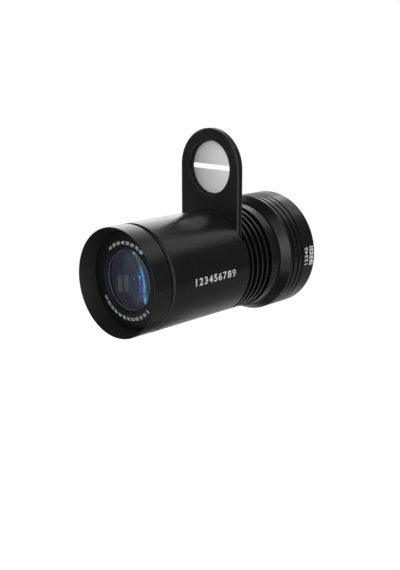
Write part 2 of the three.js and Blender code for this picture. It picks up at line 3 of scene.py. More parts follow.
import bmesh
import bpy
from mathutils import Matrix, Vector


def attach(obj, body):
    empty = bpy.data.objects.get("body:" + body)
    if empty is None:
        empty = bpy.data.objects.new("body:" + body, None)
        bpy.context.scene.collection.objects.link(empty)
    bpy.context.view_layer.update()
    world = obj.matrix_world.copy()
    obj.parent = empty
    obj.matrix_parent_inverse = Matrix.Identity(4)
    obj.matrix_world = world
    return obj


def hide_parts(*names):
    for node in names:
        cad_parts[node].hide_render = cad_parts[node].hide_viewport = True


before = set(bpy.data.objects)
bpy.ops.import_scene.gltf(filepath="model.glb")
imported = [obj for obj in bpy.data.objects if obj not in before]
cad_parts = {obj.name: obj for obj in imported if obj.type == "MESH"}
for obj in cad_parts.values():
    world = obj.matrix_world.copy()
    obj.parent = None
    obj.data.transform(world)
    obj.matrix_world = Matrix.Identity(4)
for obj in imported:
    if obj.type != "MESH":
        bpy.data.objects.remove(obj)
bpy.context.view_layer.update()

# Sizes below are in millimetres. A station is a distance behind the front rim along the optical
# axis, and a height is measured up from that axis. The lens looks along -Y.
MM = 0.001

# Clearances, and how far a cutting tool overruns
GAP = 0.3
SLIDE_GAP = 0.1
OVERRUN = 1.0

# How finely round pieces are drawn, how soft their edges are, and which corners are level, sharp or straight
TURNED_SEGMENTS = 160
SMALL_SEGMENTS = 40
NOTCH_STEPS = 16
RIM_STEPS = 36
LENS_STEPS = 24
CORNER_STEPS = 3
PLATE_STEPS = 2
ROUND_PROFILE = 0.5
SOFT_EDGE = 0.18
FIN_EDGE = 0.14
FINE_EDGE = 0.1
GOBO_EDGE = 0.06
LEVEL = 0.01
SHARP_ANGLE = math.radians(38)
STRAIGHT_ANGLE = math.radians(8)
RIM_ANGLE = math.radians(60)
CORNER_SHARE = 0.45

# Gobo holder
WINDOW_RADIUS = 14.6
WINDOW_SPACING = 50.8
HOLDER_RIM = 6.05
HOLDER_INSET = 1.74
FRAME_THICKNESS = 2.35
FRAME_CHAMFER = 0.8
SHEET_THICKNESS = 1.1
SHEET_LIP = 0.7

# Gobo slide, with the length and width of its slits
GOBO_THICKNESS = 0.4
GOBO_SIDE_MARGIN = 1.35
GOBO_END_MARGIN = 2.5
LONG_SLIT = (32.0, 2.6)
SHORT_SLIT = (16.0, 1.3)

# Walls from the gate outwards
GATE_WALL = 1.75
BODY_WALL = 2.3
BARREL_WALL = 2.4

# Barrel and focus ring
BARREL_LENGTH = 55.9
BARREL_CHAMFER = 0.95
SHADOW_GROOVE = 1.45
FOCUS_RING_LENGTH = 11.5
FOCUS_RING_STEP = 0.1
FOCUS_TRAVEL = 8.0
RIM_WIDTH = 0.35
HOOD_DEPTH = 8.75
SLEEVE_WALL = 1.4
SLEEVE_REACH = 17.0
FRICTION_RING_WIDTH = 1.6
FRICTION_RING_INSET = 4.0
FRICTION_GROOVE_DEPTH = 0.7

# Lens tube and name ring
TUBE_WALL = 1.6
TUBE_FRONT_WALL = 2.1
TUBE_TAIL = 3.4
CLIP_WIDTH = 1.0
CLIP_GROOVE_DEPTH = 0.6
NAME_RING_OVERHANG = 1.05
NAME_RING_RISE = 1.35
NAME_RING_THICKNESS = 1.5
SKIRT_WALL = 2.9
SKIRT_REACH = 2.0
BEVEL_WIDTH = 1.3
BEVEL_DEPTH = 2.0
LENS_LAND = 0.3

# Projection lenses
LENS_SEAT_WIDTH = 2.5
LENS_CURVATURE = 60.0
LENS_EDGE = 2.2
LENS_AIR_GAP = 0.6
LENS_SPACER_WALL = 1.8
SHOULDER_LENGTH = 2.0
SHOULDER_HEIGHT = 1.6

# Guide screw in the barrel, its tip in the lens tube's slot
GUIDE_STATION = 36.5
GUIDE_RADIUS = 1.3
GUIDE_HEAD_RADIUS = 2.1
GUIDE_HEAD_HEIGHT = 1.4

# Gate
GATE_APERTURE_MARGIN = 0.5
GATE_COVER_THICKNESS = 2.2
GATE_LIP_THICKNESS = 1.5
GATE_LIP_HEIGHT = 1.8
GATE_REAR_WALL = 3.4
CONDENSER_SEAT_LENGTH = 1.5
CONDENSER_SEAT_WALL = 1.5
GATE_SCREW_RADIUS = 0.8

# Fins and collar
FIN_PITCH = 4.04
FIN_WIDTH = 1.4
FIN_COUNT = 4
FIRST_GROOVE = 2.05
LAST_GROOVE = 2.15
COLLAR_STEP = 0.8
COLLAR_LENGTH = 6.4

# Condenser
CONDENSER_CURVATURE = 39.0
CONDENSER_EDGE = 2.0
CONDENSER_AIR_GAP = 1.5
CONDENSER_RING_LENGTH = 3.0
CONDENSER_RING_WALL = 2.2
CONDENSER_RING_RECESS = 0.6
SPANNER_SLOT = 1.6

# Rear housing
REAR_SPIGOT_WALL = 3.0
REAR_WALL = 3.0
CONE_WALL = 3.1
CONE_RISE = 2.9
CONE_LENGTH = 5.2
HOUSING_LIP = 2.7
GROOVE_START = 2.1
GROOVE_PITCH = 4.06
GROOVE_WIDTH = 1.2
GROOVE_DEPTH = 1.6
GROOVE_COUNT = 3

# Bayonet mount
MOUNT_HOLE_RADIUS = 22.0
LUG_DEPTH = 2.2
LUG_COUNT = 3
NOTCH_HALF_ANGLE = math.radians(18)
RACE_CLEARANCE = 0.6
RACE_LENGTH = 11.7
LIP_CLEARANCE = 1.5
MOUNT_RING_THICKNESS = 4.0
SCREW_RADIUS = 1.05
SCREW_HEAD_RADIUS = 1.6
SCREW_HEAD_HEIGHT = 0.8
SCREW_LENGTH = 8.0
SCREW_RIM = 0.5
SCREW_SINK = 0.15
DRIVER_SLOT_SHARE = 1 / 7

# Printed marks: how far the ink stands proud of the metal and reaches into it, how long a strip may be on a
# round face, how much the strokes of numbers swell, how much wider than drawn they are, and how close
# corners weld
INK_PROUD = 0.03
INK_ROOT = 0.03
INK_STRIP = 0.5
BOLD_SHARE = 0.02
BROAD_SHARE = 1.06
WELD_SHARE = 0.004

# Numbers on the name ring: height, and for each arc its radius, its first and last angle, and the step and
# count of its numbers
NAME_NUMBER_HEIGHT = 1.7
NAME_ARCS = (
    (19.1, (129, 57), 10, 8),
    (19.6, (-42, -144), 5, 12),
)

# Numbers along the barrel
BARREL_NUMBER_HEIGHT = 3.9
BARREL_NUMBER_FIRST = 28.3
BARREL_NUMBER_PITCH = 3.5
BARREL_NUMBER_COUNT = 9

# Numbers and the panel on the rear housing, as distances from its rear face
BAND_NUMBER_HEIGHT = 2.7
BAND_NUMBER_INSET = 7.2
BAND_NUMBER_PITCH = 2.15
BAND_NUMBER_COUNT = 5
PANEL_INSET = 2.6
PANEL_SIZE = (10.7, 3.2)
PANEL_NUMBER_HEIGHT = 2.3

# Ruled marks on the back of the gobo slide, each third one long
RULE_HEIGHT = 25.5
RULE_LENGTH = 24.0
RULE_PITCH = 1.5
RULE_WIDTH = 0.16
RULE_COUNT = 13
RULE_GROUP = 3
RULE_LONG_MARK = 1.6
RULE_SHORT_MARK = 0.9
RULE_INK_SHARE = 0.4


def sag(curvature, radius):
    """How far a round lens face falls away at a radius."""
    return curvature - math.sqrt(curvature ** 2 - radius ** 2)


# Radii from the gate outwards
HOLDER_HALF_WIDTH = WINDOW_RADIUS + HOLDER_RIM
GOBO_HALF_WIDTH = HOLDER_HALF_WIDTH - GOBO_SIDE_MARGIN
CHANNEL_HALF_WIDTH = HOLDER_HALF_WIDTH + GAP
GATE_RADIUS = CHANNEL_HALF_WIDTH + GATE_WALL
GATE_APERTURE = WINDOW_RADIUS + GATE_APERTURE_MARGIN
GATE_SEAT_BORE = GATE_RADIUS - CONDENSER_SEAT_WALL
BODY_BORE = GATE_RADIUS + GAP
BODY_LIP_BORE = BODY_BORE - GATE_LIP_HEIGHT
SPIGOT_RADIUS = BODY_BORE + BODY_WALL
BARREL_BORE = SPIGOT_RADIUS + GAP
BARREL_RADIUS = BARREL_BORE + BARREL_WALL
COLLAR_RADIUS = BARREL_RADIUS + COLLAR_STEP

# Radii of the focus ring and the lens unit
FOCUS_RING_RADIUS = BARREL_RADIUS - FOCUS_RING_STEP
HOOD_MOUTH = FOCUS_RING_RADIUS - RIM_WIDTH
SLEEVE_RADIUS = BARREL_BORE - GAP
SLEEVE_BORE = SLEEVE_RADIUS - SLEEVE_WALL
FRICTION_FLOOR = SLEEVE_RADIUS - FRICTION_GROOVE_DEPTH
TUBE_RADIUS = SLEEVE_BORE - GAP
TUBE_BORE = TUBE_RADIUS - TUBE_WALL
CLIP_FLOOR = TUBE_RADIUS - CLIP_GROOVE_DEPTH
GUIDE_TIP = TUBE_BORE + GAP
SKIRT_BORE = TUBE_RADIUS - TUBE_FRONT_WALL
SKIRT_RADIUS = SKIRT_BORE - GAP
CELL_BORE = SKIRT_RADIUS - SKIRT_WALL
LENS_RADIUS = CELL_BORE - GAP
LENS_CLEAR_RADIUS = LENS_RADIUS - LENS_SEAT_WIDTH
SPACER_BORE = LENS_RADIUS - LENS_SPACER_WALL
SHOULDER_BORE = LENS_RADIUS - SHOULDER_HEIGHT
NAME_RING_RADIUS = TUBE_RADIUS + NAME_RING_OVERHANG
NAME_RING_MOUTH = LENS_CLEAR_RADIUS + BEVEL_WIDTH

# Radii of the rear
REAR_SPIGOT_RADIUS = BODY_BORE + REAR_SPIGOT_WALL
HOUSING_BORE = REAR_SPIGOT_RADIUS + GAP
CONE_FRONT_RADIUS = HOUSING_BORE + CONE_WALL
HOUSING_RADIUS = CONE_FRONT_RADIUS + CONE_RISE
CONDENSER_RADIUS = BODY_BORE - GAP
CONDENSER_RING_BORE = CONDENSER_RADIUS - CONDENSER_RING_WALL
NOTCH_RADIUS = MOUNT_HOLE_RADIUS + LUG_DEPTH
RACE_BORE = NOTCH_RADIUS + RACE_CLEARANCE
LIP_BORE = MOUNT_HOLE_RADIUS + LIP_CLEARANCE
MOUNT_RECESS_RADIUS = HOUSING_RADIUS - REAR_WALL
MOUNT_RING_RADIUS = MOUNT_RECESS_RADIUS - GAP
SCREW_CIRCLE = MOUNT_RING_RADIUS - SCREW_RIM - SCREW_HEAD_RADIUS - GAP

# Stations of the front
NAME_RING_CREST = HOOD_DEPTH - NAME_RING_RISE
NAME_RING_REAR = HOOD_DEPTH + NAME_RING_THICKNESS
SKIRT_REAR = NAME_RING_REAR + SKIRT_REACH
BEVEL_REAR = NAME_RING_CREST + BEVEL_DEPTH
LENS_SEAT = BEVEL_REAR + LENS_LAND
LENS_SAG = sag(LENS_CURVATURE, LENS_RADIUS)
SPACER_STAND_OFF = LENS_SAG - sag(LENS_CURVATURE, SPACER_BORE) + SLIDE_GAP
FRONT_LENS_PLANE = LENS_SEAT + SLIDE_GAP
FRONT_LENS_EDGE = FRONT_LENS_PLANE + LENS_EDGE
REAR_LENS_EDGE = FRONT_LENS_EDGE + LENS_SAG + LENS_AIR_GAP + LENS_SAG
REAR_LENS_PLANE = REAR_LENS_EDGE + LENS_EDGE
SHOULDER_FRONT = REAR_LENS_PLANE + SLIDE_GAP
SHOULDER_REAR = SHOULDER_FRONT + SHOULDER_LENGTH
SLEEVE_REAR = FOCUS_RING_LENGTH + SLEEVE_REACH
FRICTION_REAR = SLEEVE_REAR - FRICTION_RING_INSET + GAP
FRICTION_FRONT = SLEEVE_REAR - FRICTION_RING_INSET - FRICTION_RING_WIDTH - GAP
GUIDE_SLOT_FRONT = GUIDE_STATION - GUIDE_RADIUS - GAP
GUIDE_SLOT_REAR = GUIDE_STATION + FOCUS_TRAVEL + GUIDE_RADIUS + GAP
TUBE_REAR = GUIDE_SLOT_REAR + TUBE_TAIL
CLIP_GROOVE_FRONT = SLEEVE_REAR + GAP - SLIDE_GAP
CLIP_GROOVE_REAR = SLEEVE_REAR + GAP + CLIP_WIDTH + SLIDE_GAP

# Stations of the barrel and the gate
BARREL_FRONT = FOCUS_RING_LENGTH + SHADOW_GROOVE
BARREL_REAR = BARREL_FRONT + BARREL_LENGTH
HOLDER_FRONT = BARREL_REAR - HOLDER_INSET
SHEET_FRONT = HOLDER_FRONT + FRAME_THICKNESS
SHEET_REAR = SHEET_FRONT + SHEET_THICKNESS
GOBO_FRONT = SHEET_REAR + SLIDE_GAP
GOBO_REAR = GOBO_FRONT + GOBO_THICKNESS
CHANNEL_FRONT = HOLDER_FRONT - GAP
CHANNEL_REAR = GOBO_REAR + GAP
GATE_COVER_FRONT = CHANNEL_FRONT - GATE_COVER_THICKNESS
BODY_FRONT = GATE_COVER_FRONT - GATE_LIP_THICKNESS
GATE_SEAT_FRONT = CHANNEL_REAR + GATE_REAR_WALL
GATE_REAR = GATE_SEAT_FRONT + CONDENSER_SEAT_LENGTH

# Stations of the fins and the collar
FIN_FRONT = BARREL_REAR + FIRST_GROOVE
COLLAR_FRONT = FIN_FRONT + FIN_WIDTH + (FIN_COUNT - 1) * FIN_PITCH + LAST_GROOVE
COLLAR_REAR = COLLAR_FRONT + COLLAR_LENGTH
GATE_SCREW_STATION = FIN_FRONT + (FIN_WIDTH + FIN_PITCH) / 2

# Stations of the condenser and the rear
CONDENSER_DEPTH = CONDENSER_EDGE + sag(CONDENSER_CURVATURE, CONDENSER_RADIUS)
FRONT_CONDENSER_PLANE = GATE_REAR + GAP
REAR_CONDENSER_PLANE = FRONT_CONDENSER_PLANE + CONDENSER_DEPTH + CONDENSER_AIR_GAP + CONDENSER_DEPTH
CONDENSER_RING_FRONT = REAR_CONDENSER_PLANE + GAP
CONDENSER_RING_REAR = CONDENSER_RING_FRONT + CONDENSER_RING_LENGTH
BODY_REAR = CONDENSER_RING_REAR + CONDENSER_RING_RECESS
HOUSING_FLAT_FRONT = COLLAR_REAR + CONE_LENGTH
LIP_FRONT = BODY_REAR + GAP
RACE_FRONT = LIP_FRONT + HOUSING_LIP
MOUNT_RING_FRONT = RACE_FRONT + RACE_LENGTH
OVERALL_LENGTH = MOUNT_RING_FRONT + MOUNT_RING_THICKNESS

# Heights
GOBO_LOWER_CENTRE = GOBO_END_MARGIN - GOBO_SIDE_MARGIN
GOBO_UPPER_CENTRE = WINDOW_SPACING - GOBO_LOWER_CENTRE
SAW_CUT_HEIGHT = math.sqrt(BARREL_BORE ** 2 - CHANNEL_HALF_WIDTH ** 2) - GAP

# Each kind of lens: radius, curvature and edge
PROJECTION_LENS = (LENS_RADIUS, LENS_CURVATURE, LENS_EDGE)
CONDENSER_LENS = (CONDENSER_RADIUS, CONDENSER_CURVATURE, CONDENSER_EDGE)

# Textures: features in a metre, for the streaks along X, Y and Z
GRAIN_SCALE = 5200
LATHE_SCALE = 900
HANDLING_SCALE = 55
PATCH_SCALE = 190
CLOUD_SCALE = 90
STREAK_SCALE = (90, 90, 9000)
DUST_SCALE = 1400
SPECKLE_SCALE = 2600

# The part of a noise that counts, the pointiness of an edge that is just and fully worn, and how far each
# texture moves the tone or roughness under it
NOISE_RANGE = (0.3, 0.7)
WORN_POINTINESS = (0.515, 0.6)
WEAR_SPREAD = (0.3, 1.0)
TONE_SPREAD = (0.92, 1.08)
HANDLING_SPREAD = (0.94, 1.07)
STREAK_SPREAD = (0.96, 1.0)
CLOUD_SPREAD = (0.9, 1.1)
DUST_SPREAD = (0.0, 0.02)
SPECKLE_SHADE = 0.86

# Depth and strength of the surface grain and of the brush lines
GRAIN_DEPTH = 0.02
GRAIN_STRENGTH = 0.12
BRUSH_DEPTH = 0.01
BRUSH_STRENGTH = 0.3

INK_ROUGHNESS = 0.6
GLASS_IOR = 1.52

# Camera, as fitted to the photograph
CAMERA_AZIMUTH = 43.17
CAMERA_ELEVATION = 13.16
CAMERA_DISTANCE = 488.3
CAMERA_REAR_DISTANCE = 57.1
CAMERA_LENS = 57.377
CAMERA_SENSOR = 36.0
CAMERA_SHIFT = (-0.0038, -0.0394)

# Surroundings: the world's light, and the floor's place, size and finish
WORLD_LIGHT = 0.7
FLOOR_DROP = 200.0
FLOOR_SIZE = 12000.0
FLOOR_TONE = 0.9
FLOOR_ROUGHNESS = 0.9
FLOOR_GLOSS = 0.1
FLOOR_GLOW = 1.08
FLOOR_GLOW_SHARE = 0.85

# Lamps and boards stand at an azimuth and elevation round the point that the camera looks at, and the panes
# and lens boards round the front lens. Azimuth 0 is in front of the lens, and 90 on the part's right.

# Lamps: azimuth, elevation, distance, width and height, power, and whether gloss shows it
LAMPS = {
    "right_softbox": (92, 12, 700, (420, 420), 0.9, True),
    "rear_softbox": (-140, 22, 900, (620, 520), 1.9, True),
    "front_softbox": (25, 30, 700, (500, 500), 2.2, False),
}

# Boards that show in the part's gloss: azimuth, elevation, distance, width and height, and tone
BOARDS = {
    "right_board": (139, 9, 620, (760, 640), 0.125),
    "front_board": (-43, -12, 620, (1040, 800), 0.2),
    "top_board": (-62, 79, 460, (680, 680), 0.13),
}

# Boards under the part: place from the same point, width and height, and tone
LOW_BOARDS = {
    "low_board": ((150, -10, -160), (240, 130), 0.05),
    "low_rear_board": ((220, 240, -160), (400, 370), 0.3),
    "low_middle_board": ((-50, 32, -160), (160, 126), 0.035),
    "low_left_board": ((-60, 265, -160), (160, 340), 0.6),
}

# A pale board before the rear lamp, which dims that lamp in the gloss of the rear housing: its place and the
# spot that it faces, both from the same point, width and height, and tone
REAR_SHADE = ((-100, 164, 66), (0, 45, 20), (78, 95), 0.95)

# A grey wall and two window panes on it, which the front lens's face mirrors: azimuth, elevation, distance,
# width and height, and tone
PANES = {
    "pane_wall": (-48.6, -14.2, 575, (64, 90), 0.3),
    "left_pane": (-49.05, -14.6, 560, (5.2, 19), 0.9),
    "right_pane": (-48.3, -14.6, 560, (4.8, 19), 0.9),
}

# Boards that the inner lens faces mirror. LENS_VIEW is the azimuth and elevation that the front lens's flat
# face mirrors, and LENS_GLOW the brightest tone that a board may have. Each board has its distance, its
# middle's place to the right of that view and above it, its width and height, how far its tones lean to the
# right for each step up, and the heights above and below its middle between which it fades to its first
# tone. Its tones follow, each with its distance to the right of the view.
LENS_VIEW = (-48, -14)
LENS_GLOW = 12
LENS_SIDE = (0.36, 0.38, 0.4)
LENS_ROOM = (0.21, 0.2, 0.22)
LENS_CYAN = (3.0, 9.0, 9.0)
LENS_DUSK = (0.1, 0.15, 0.18)
LENS_BOARDS = {
    "lens_room": (150, (0, 0), (300, 210), 0, (15, 70), (
        (-150, LENS_SIDE), (-90, LENS_SIDE), (-45, LENS_ROOM), (12, LENS_ROOM), (24, (0.22, 0.22, 0.5)),
        (41, (0.12, 0.16, 0.25)), (43.5, (0.7, 0.9, 3.0)), (52, (1.0, 1.8, 6.0)), (70, (2.4, 5.5, 9.0)),
        (95, LENS_CYAN), (150, LENS_CYAN),
    )),
    "lens_patch": (147, (9.5, -3), (21, 16), 0.25, (2.0, 6.3), (
        (-7, LENS_ROOM), (2.6, (0.32, 0.3, 0.6)), (3.3, (0.9, 1.4, 7.0)), (4.4, (2.0, 5.0, 9.0)),
        (6, (2.2, 6.0, 6.5)), (8.5, (1.2, 3.0, 2.2)), (11, (0.4, 0.8, 0.6)), (14, LENS_DUSK), (32, LENS_DUSK),
    )),
}


# Materials

def feed(tree, node, inputs):
    """Gives a node its inputs, each a plain value or the socket of another node."""
    for key, value in dict(inputs).items():
        if isinstance(value, bpy.types.NodeSocket):
            tree.links.new(value, node.inputs[key])
        else:
            node.inputs[key].default_value = value


def add(tree, kind, inputs=(), **settings):
    """A new node with its settings and inputs."""
    node = tree.nodes.new(kind)
    for name, value in settings.items():
        setattr(node, name, value)
    feed(tree, node, inputs)
    return node


def object_place(tree):
    return add(tree, "ShaderNodeTexCoord").outputs["Object"]


def noise(tree, place, scale, detail, roughness=0.5):
    shape = {"Vector": place, "Scale": scale, "Detail": detail, "Roughness": roughness}
    return add(tree, "ShaderNodeTexNoise", shape).outputs["Fac"]


def computed(tree, operation, *values):
    return add(tree, "ShaderNodeMath", enumerate(values), operation=operation).outputs[0]


def scaled(tree, colour, factor):
    values = {0: colour, "Scale": factor}
    return add(tree, "ShaderNodeVectorMath", values, operation="SCALE").outputs[0]


def mixed(tree, factor, first, second):
    values = {"Factor": factor, "A": first, "B": second}
    return add(tree, "ShaderNodeMix", values, data_type="RGBA").outputs["Result"]


def ranged(tree, value, start, end, low=0, high=1, curve="LINEAR"):
    """Start to end becomes low to high."""
    limits = {"Value": value, "From Min": start, "From Max": end, "To Min": low, "To Max": high}
    return add(tree, "ShaderNodeMapRange", limits, interpolation_type=curve).outputs["Result"]


def spread(tree, factor, low, high):
    """A noise becomes a value between low and high."""
    return ranged(tree, factor, *NOISE_RANGE, low, high)


def relief(tree, height, strength, depth):
    values = {"Height": height, "Strength": strength, "Distance": depth * MM}
    return add(tree, "ShaderNodeBump", values).outputs["Normal"]


def worked_surface_group():
    """Fine blast grain, lathe lines round the axis, soft handling marks and paler worn edges."""
    tree = bpy.data.node_groups.new("worked_surface", "ShaderNodeTree")
    for way, name, kind in (
        ("INPUT", "Colour", "NodeSocketColor"),
        ("INPUT", "Worn Colour", "NodeSocketColor"),
        ("INPUT", "Roughness", "NodeSocketFloat"),
        ("INPUT", "Wear", "NodeSocketFloat"),
        ("INPUT", "Grain", "NodeSocketFloat"),
        ("INPUT", "Lathe Lines", "NodeSocketFloat"),
        ("OUTPUT", "Colour", "NodeSocketColor"),
        ("OUTPUT", "Roughness", "NodeSocketFloat"),
        ("OUTPUT", "Height", "NodeSocketFloat"),
    ):
        tree.interface.new_socket(name=name, in_out=way, socket_type=kind)
    given = tree.nodes.new("NodeGroupInput").outputs
    place = object_place(tree)
    grain = noise(tree, place, GRAIN_SCALE, detail=2)
    wave = {"Vector": place, "Scale": LATHE_SCALE, "Distortion": 1.5, "Detail": 1}
    lines = add(tree, "ShaderNodeTexWave", wave, wave_type="BANDS", bands_direction="Y").outputs["Fac"]
    handled = noise(tree, place, HANDLING_SCALE, detail=4, roughness=0.6)
    patches = noise(tree, place, PATCH_SCALE, detail=3)
    pointiness = add(tree, "ShaderNodeNewGeometry").outputs["Pointiness"]

    grain_height = computed(tree, "MULTIPLY", grain, given["Grain"])
    height = computed(tree, "MULTIPLY_ADD", lines, given["Lathe Lines"], grain_height)
    roughness = computed(tree, "MULTIPLY", given["Roughness"], spread(tree, handled, *HANDLING_SPREAD))
    edges = ranged(tree, pointiness, *WORN_POINTINESS)
    worn = computed(tree, "MULTIPLY", edges, spread(tree, patches, *WEAR_SPREAD))
    amount = computed(tree, "MULTIPLY", worn, given["Wear"])
    tone = scaled(tree, given["Colour"], spread(tree, patches, *TONE_SPREAD))
    colour = mixed(tree, amount, tone, given["Worn Colour"])
    result = {"Colour": colour, "Roughness": roughness, "Height": height}
    feed(tree, tree.nodes.new("NodeGroupOutput"), result)
    return tree


WORKED_SURFACE = worked_surface_group()


def shader(name):
    """A new material, its node tree and its shader."""
    material = bpy.data.materials.new(name)
    material.use_nodes = True
    tree = material.node_tree
    return material, tree, tree.nodes["Principled BSDF"]


def worked_material(name, colour, roughness, worn, wear=0.3, grain=0.4, lathe_lines=0.3, gloss=0.5, metal=0):
    """A metal or rubber finish that takes its variation from the shared group."""
    material, tree, principled = shader(name)
    surface = add(tree, "ShaderNodeGroup", {
        "Colour": (*colour, 1),
        "Worn Colour": (*worn, 1),
        "Roughness": roughness,
        "Wear": wear,
        "Grain": grain,
        "Lathe Lines": lathe_lines,
    }, node_tree=WORKED_SURFACE).outputs
    feed(tree, principled, {
        "Base Color": surface["Colour"],
        "Roughness": surface["Roughness"],
        "Normal": relief(tree, surface["Height"], GRAIN_STRENGTH, GRAIN_DEPTH),
        "Specular IOR Level": gloss,
        "Metallic": metal,
    })
    return material


def brushed_material(name, left, right, half_width, metal, roughness):
    """Steel with fine straight brush lines and painted shade across its width: its colour turns from the
    darker left colour to the lighter right one, as if light fell more on its right.
    """
    material, tree, principled = shader(name)
    place = object_place(tree)
    stretched = add(tree, "ShaderNodeMapping", {"Vector": place, "Scale": STREAK_SCALE}).outputs["Vector"]
    streaks = noise(tree, stretched, 1, detail=4, roughness=0.6)
    clouds = noise(tree, place, CLOUD_SCALE, detail=3)
    # Painted shade: the colour darkens towards the left across the width, standing in for light falling off
    # to that side.
    across = add(tree, "ShaderNodeSeparateXYZ", {0: place}).outputs["X"]
    share = ranged(tree, across, -half_width * MM, half_width * MM)
    painted_shade_across = mixed(tree, share, (*left, 1), (*right, 1))
    feed(tree, principled, {
        "Base Color": scaled(tree, painted_shade_across, spread(tree, streaks, *STREAK_SPREAD)),
        "Roughness": spread(tree, clouds, *[roughness * limit for limit in CLOUD_SPREAD]),
        "Normal": relief(tree, streaks, BRUSH_STRENGTH, BRUSH_DEPTH),
        "Metallic": metal,
    })
    return material


def glass_material(name, tint, reflection):
    """Clear glass whose coating gives a coloured reflection, with a trace of dust in its roughness."""
    material, tree, principled = shader(name)
    dust = noise(tree, object_place(tree), DUST_SCALE, detail=3, roughness=0.7)
    feed(tree, principled, {
        "Base Color": (*tint, 1),
        "Roughness": spread(tree, dust, *DUST_SPREAD),
        "Transmission Weight": 1,
        "IOR": GLASS_IOR,
        "Specular Tint": (*reflection, 1),
    })
    return material


def ink_material(name, colour):
    material, tree, principled = shader(name)
    speckle = noise(tree, object_place(tree), SPECKLE_SCALE, detail=3)
    shade = [value * SPECKLE_SHADE for value in colour]
    feed(tree, principled, {
        "Base Color": mixed(tree, speckle, (*shade, 1), (*colour, 1)),
        "Roughness": INK_ROUGHNESS,
    })
    return material


black_anodised = worked_material(
    "black_anodised", colour=(0.0036, 0.0036, 0.0038), roughness=0.27, worn=(0.05, 0.05, 0.052), gloss=0.36,
)
hood_black = worked_material(
    "hood_black", colour=(0.005, 0.005, 0.0052), roughness=0.45, worn=(0.05, 0.05, 0.052), lathe_lines=0.4,
    gloss=0.45,
)
matt_black = worked_material(
    "matt_black", colour=(0.003, 0.003, 0.0032), roughness=0.5, worn=(0.02, 0.02, 0.02), wear=0.2,
    grain=0.5, lathe_lines=0.5, gloss=0.22,
)
# The bevel's finish is black metal with a painted blue sheen: its bluish tint stands in for a coloured
# reflection.
bevel_painted_blue_sheen = worked_material(
    "bevel_painted_blue_sheen", colour=(0.007, 0.008, 0.011), roughness=0.38, worn=(0.01, 0.01, 0.012), wear=0.1,
    grain=0.1, gloss=0.12,
)
# The lens land's pale grey is a painted highlight: the thin bright edge round the lens.
lens_land_painted_highlight = worked_material(
    "lens_land_painted_highlight", colour=(0.34, 0.36, 0.39), roughness=0.35, worn=(0.3, 0.3, 0.3), wear=0.1, grain=0.1,
    lathe_lines=0.1,
)
black_steel = worked_material(
    "black_steel", colour=(0.03, 0.03, 0.032), roughness=0.36, worn=(0.2, 0.2, 0.2), wear=0.4,
    lathe_lines=0.2, metal=0.8,
)
spring_steel = worked_material(
    "spring_steel", colour=(0.45, 0.45, 0.46), roughness=0.28, worn=(0.6, 0.6, 0.6), grain=0.2,
    lathe_lines=0.2, metal=1,
)
magnet_rubber = worked_material(
    "magnet_rubber", colour=(0.012, 0.012, 0.012), roughness=0.6, worn=(0.03, 0.03, 0.03), wear=0.2,
    grain=1, lathe_lines=0, gloss=0.3,
)
black_rubber = worked_material(
    "black_rubber", colour=(0.01, 0.01, 0.01), roughness=0.55, worn=(0.03, 0.03, 0.03), wear=0.2,
    grain=0.8, lathe_lines=0,
)
# The gobo steel carries painted shade, darker on its left and lighter on its right.
gobo_steel = brushed_material(
    "gobo_steel", left=(0.48, 0.483, 0.487), right=(1, 1, 1), half_width=WINDOW_RADIUS, metal=0.28,
    roughness=0.5,
)
coated_glass = glass_material("coated_glass", tint=(0.95, 0.97, 1), reflection=(0.8, 0.9, 1))
plain_glass = glass_material("plain_coated_glass", tint=(0.95, 0.97, 1), reflection=(0.12, 0.18, 0.75))
teal_glass = glass_material("teal_coated_glass", tint=(0.95, 0.97, 1), reflection=(0.2, 0.7, 1))
condenser_glass = glass_material("condenser_glass", tint=(0.95, 0.98, 0.97), reflection=(0.7, 0.9, 1))
white_ink = ink_material("white_ink", (0.6, 0.6, 0.595))
grey_ink = ink_material("grey_ink", (0.16, 0.16, 0.165))
dark_ink = ink_material("dark_ink", (0.02, 0.02, 0.021))


# Shapes

def axial(radius, station, angle):
    """The point at a radius and angle round the optical axis, and at a station on it."""
    return Vector((
        radius * math.cos(angle) * MM,
        (station - OVERALL_LENGTH) * MM,
        radius * math.sin(angle) * MM,
    ))


def offset(x, station, z):
    """The point at a place across the axis, a station on it and a height."""
    return Vector((x, station - OVERALL_LENGTH, z)) * MM


def rounded(outline, edge, closed=True):
    """An outline whose corners are short arcs. Corners on the axis and nearly straight ones stay."""
    count = len(outline)
    points = []
    for i, corner in enumerate(outline):
        here = Vector(corner)
        if not closed and i in (0, count - 1):
            points.append(here)
            continue
        before = Vector(outline[i - 1]) - here
        after = Vector(outline[(i + 1) % count]) - here
        if math.pi - before.angle(after) < STRAIGHT_ANGLE:
            points.append(here)
            continue
        reach = min(edge, CORNER_SHARE * before.length, CORNER_SHARE * after.length)
        start = here + before.normalized() * reach
        end = here + after.normalized() * reach
        for step in range(CORNER_STEPS + 1):
            share = step / CORNER_STEPS
            points.append(start.lerp(here, share).lerp(here.lerp(end, share), share))
    return points


def new_object(name, data):
    """A new object in the scene."""
    thing = bpy.data.objects.new(name, data)
    bpy.context.scene.collection.objects.link(thing)
    return thing


def formed(name, shape, finishes):
    """The piece that a finished shape gives."""
    mesh = bpy.data.meshes.new(name)
    shape.to_mesh(mesh)
    shape.free()
    for finish in finishes:
        mesh.materials.append(finish)
    return new_object(name, mesh)


def made(name, vertices, faces, finish):
    mesh = bpy.data.meshes.new(name)
    mesh.from_pydata(vertices, [], faces)
    shape = bmesh.new()
    shape.from_mesh(mesh)
    bpy.data.meshes.remove(mesh)
    bmesh.ops.recalc_face_normals(shape, faces=shape.faces)
    return formed(name, shape, [finish])


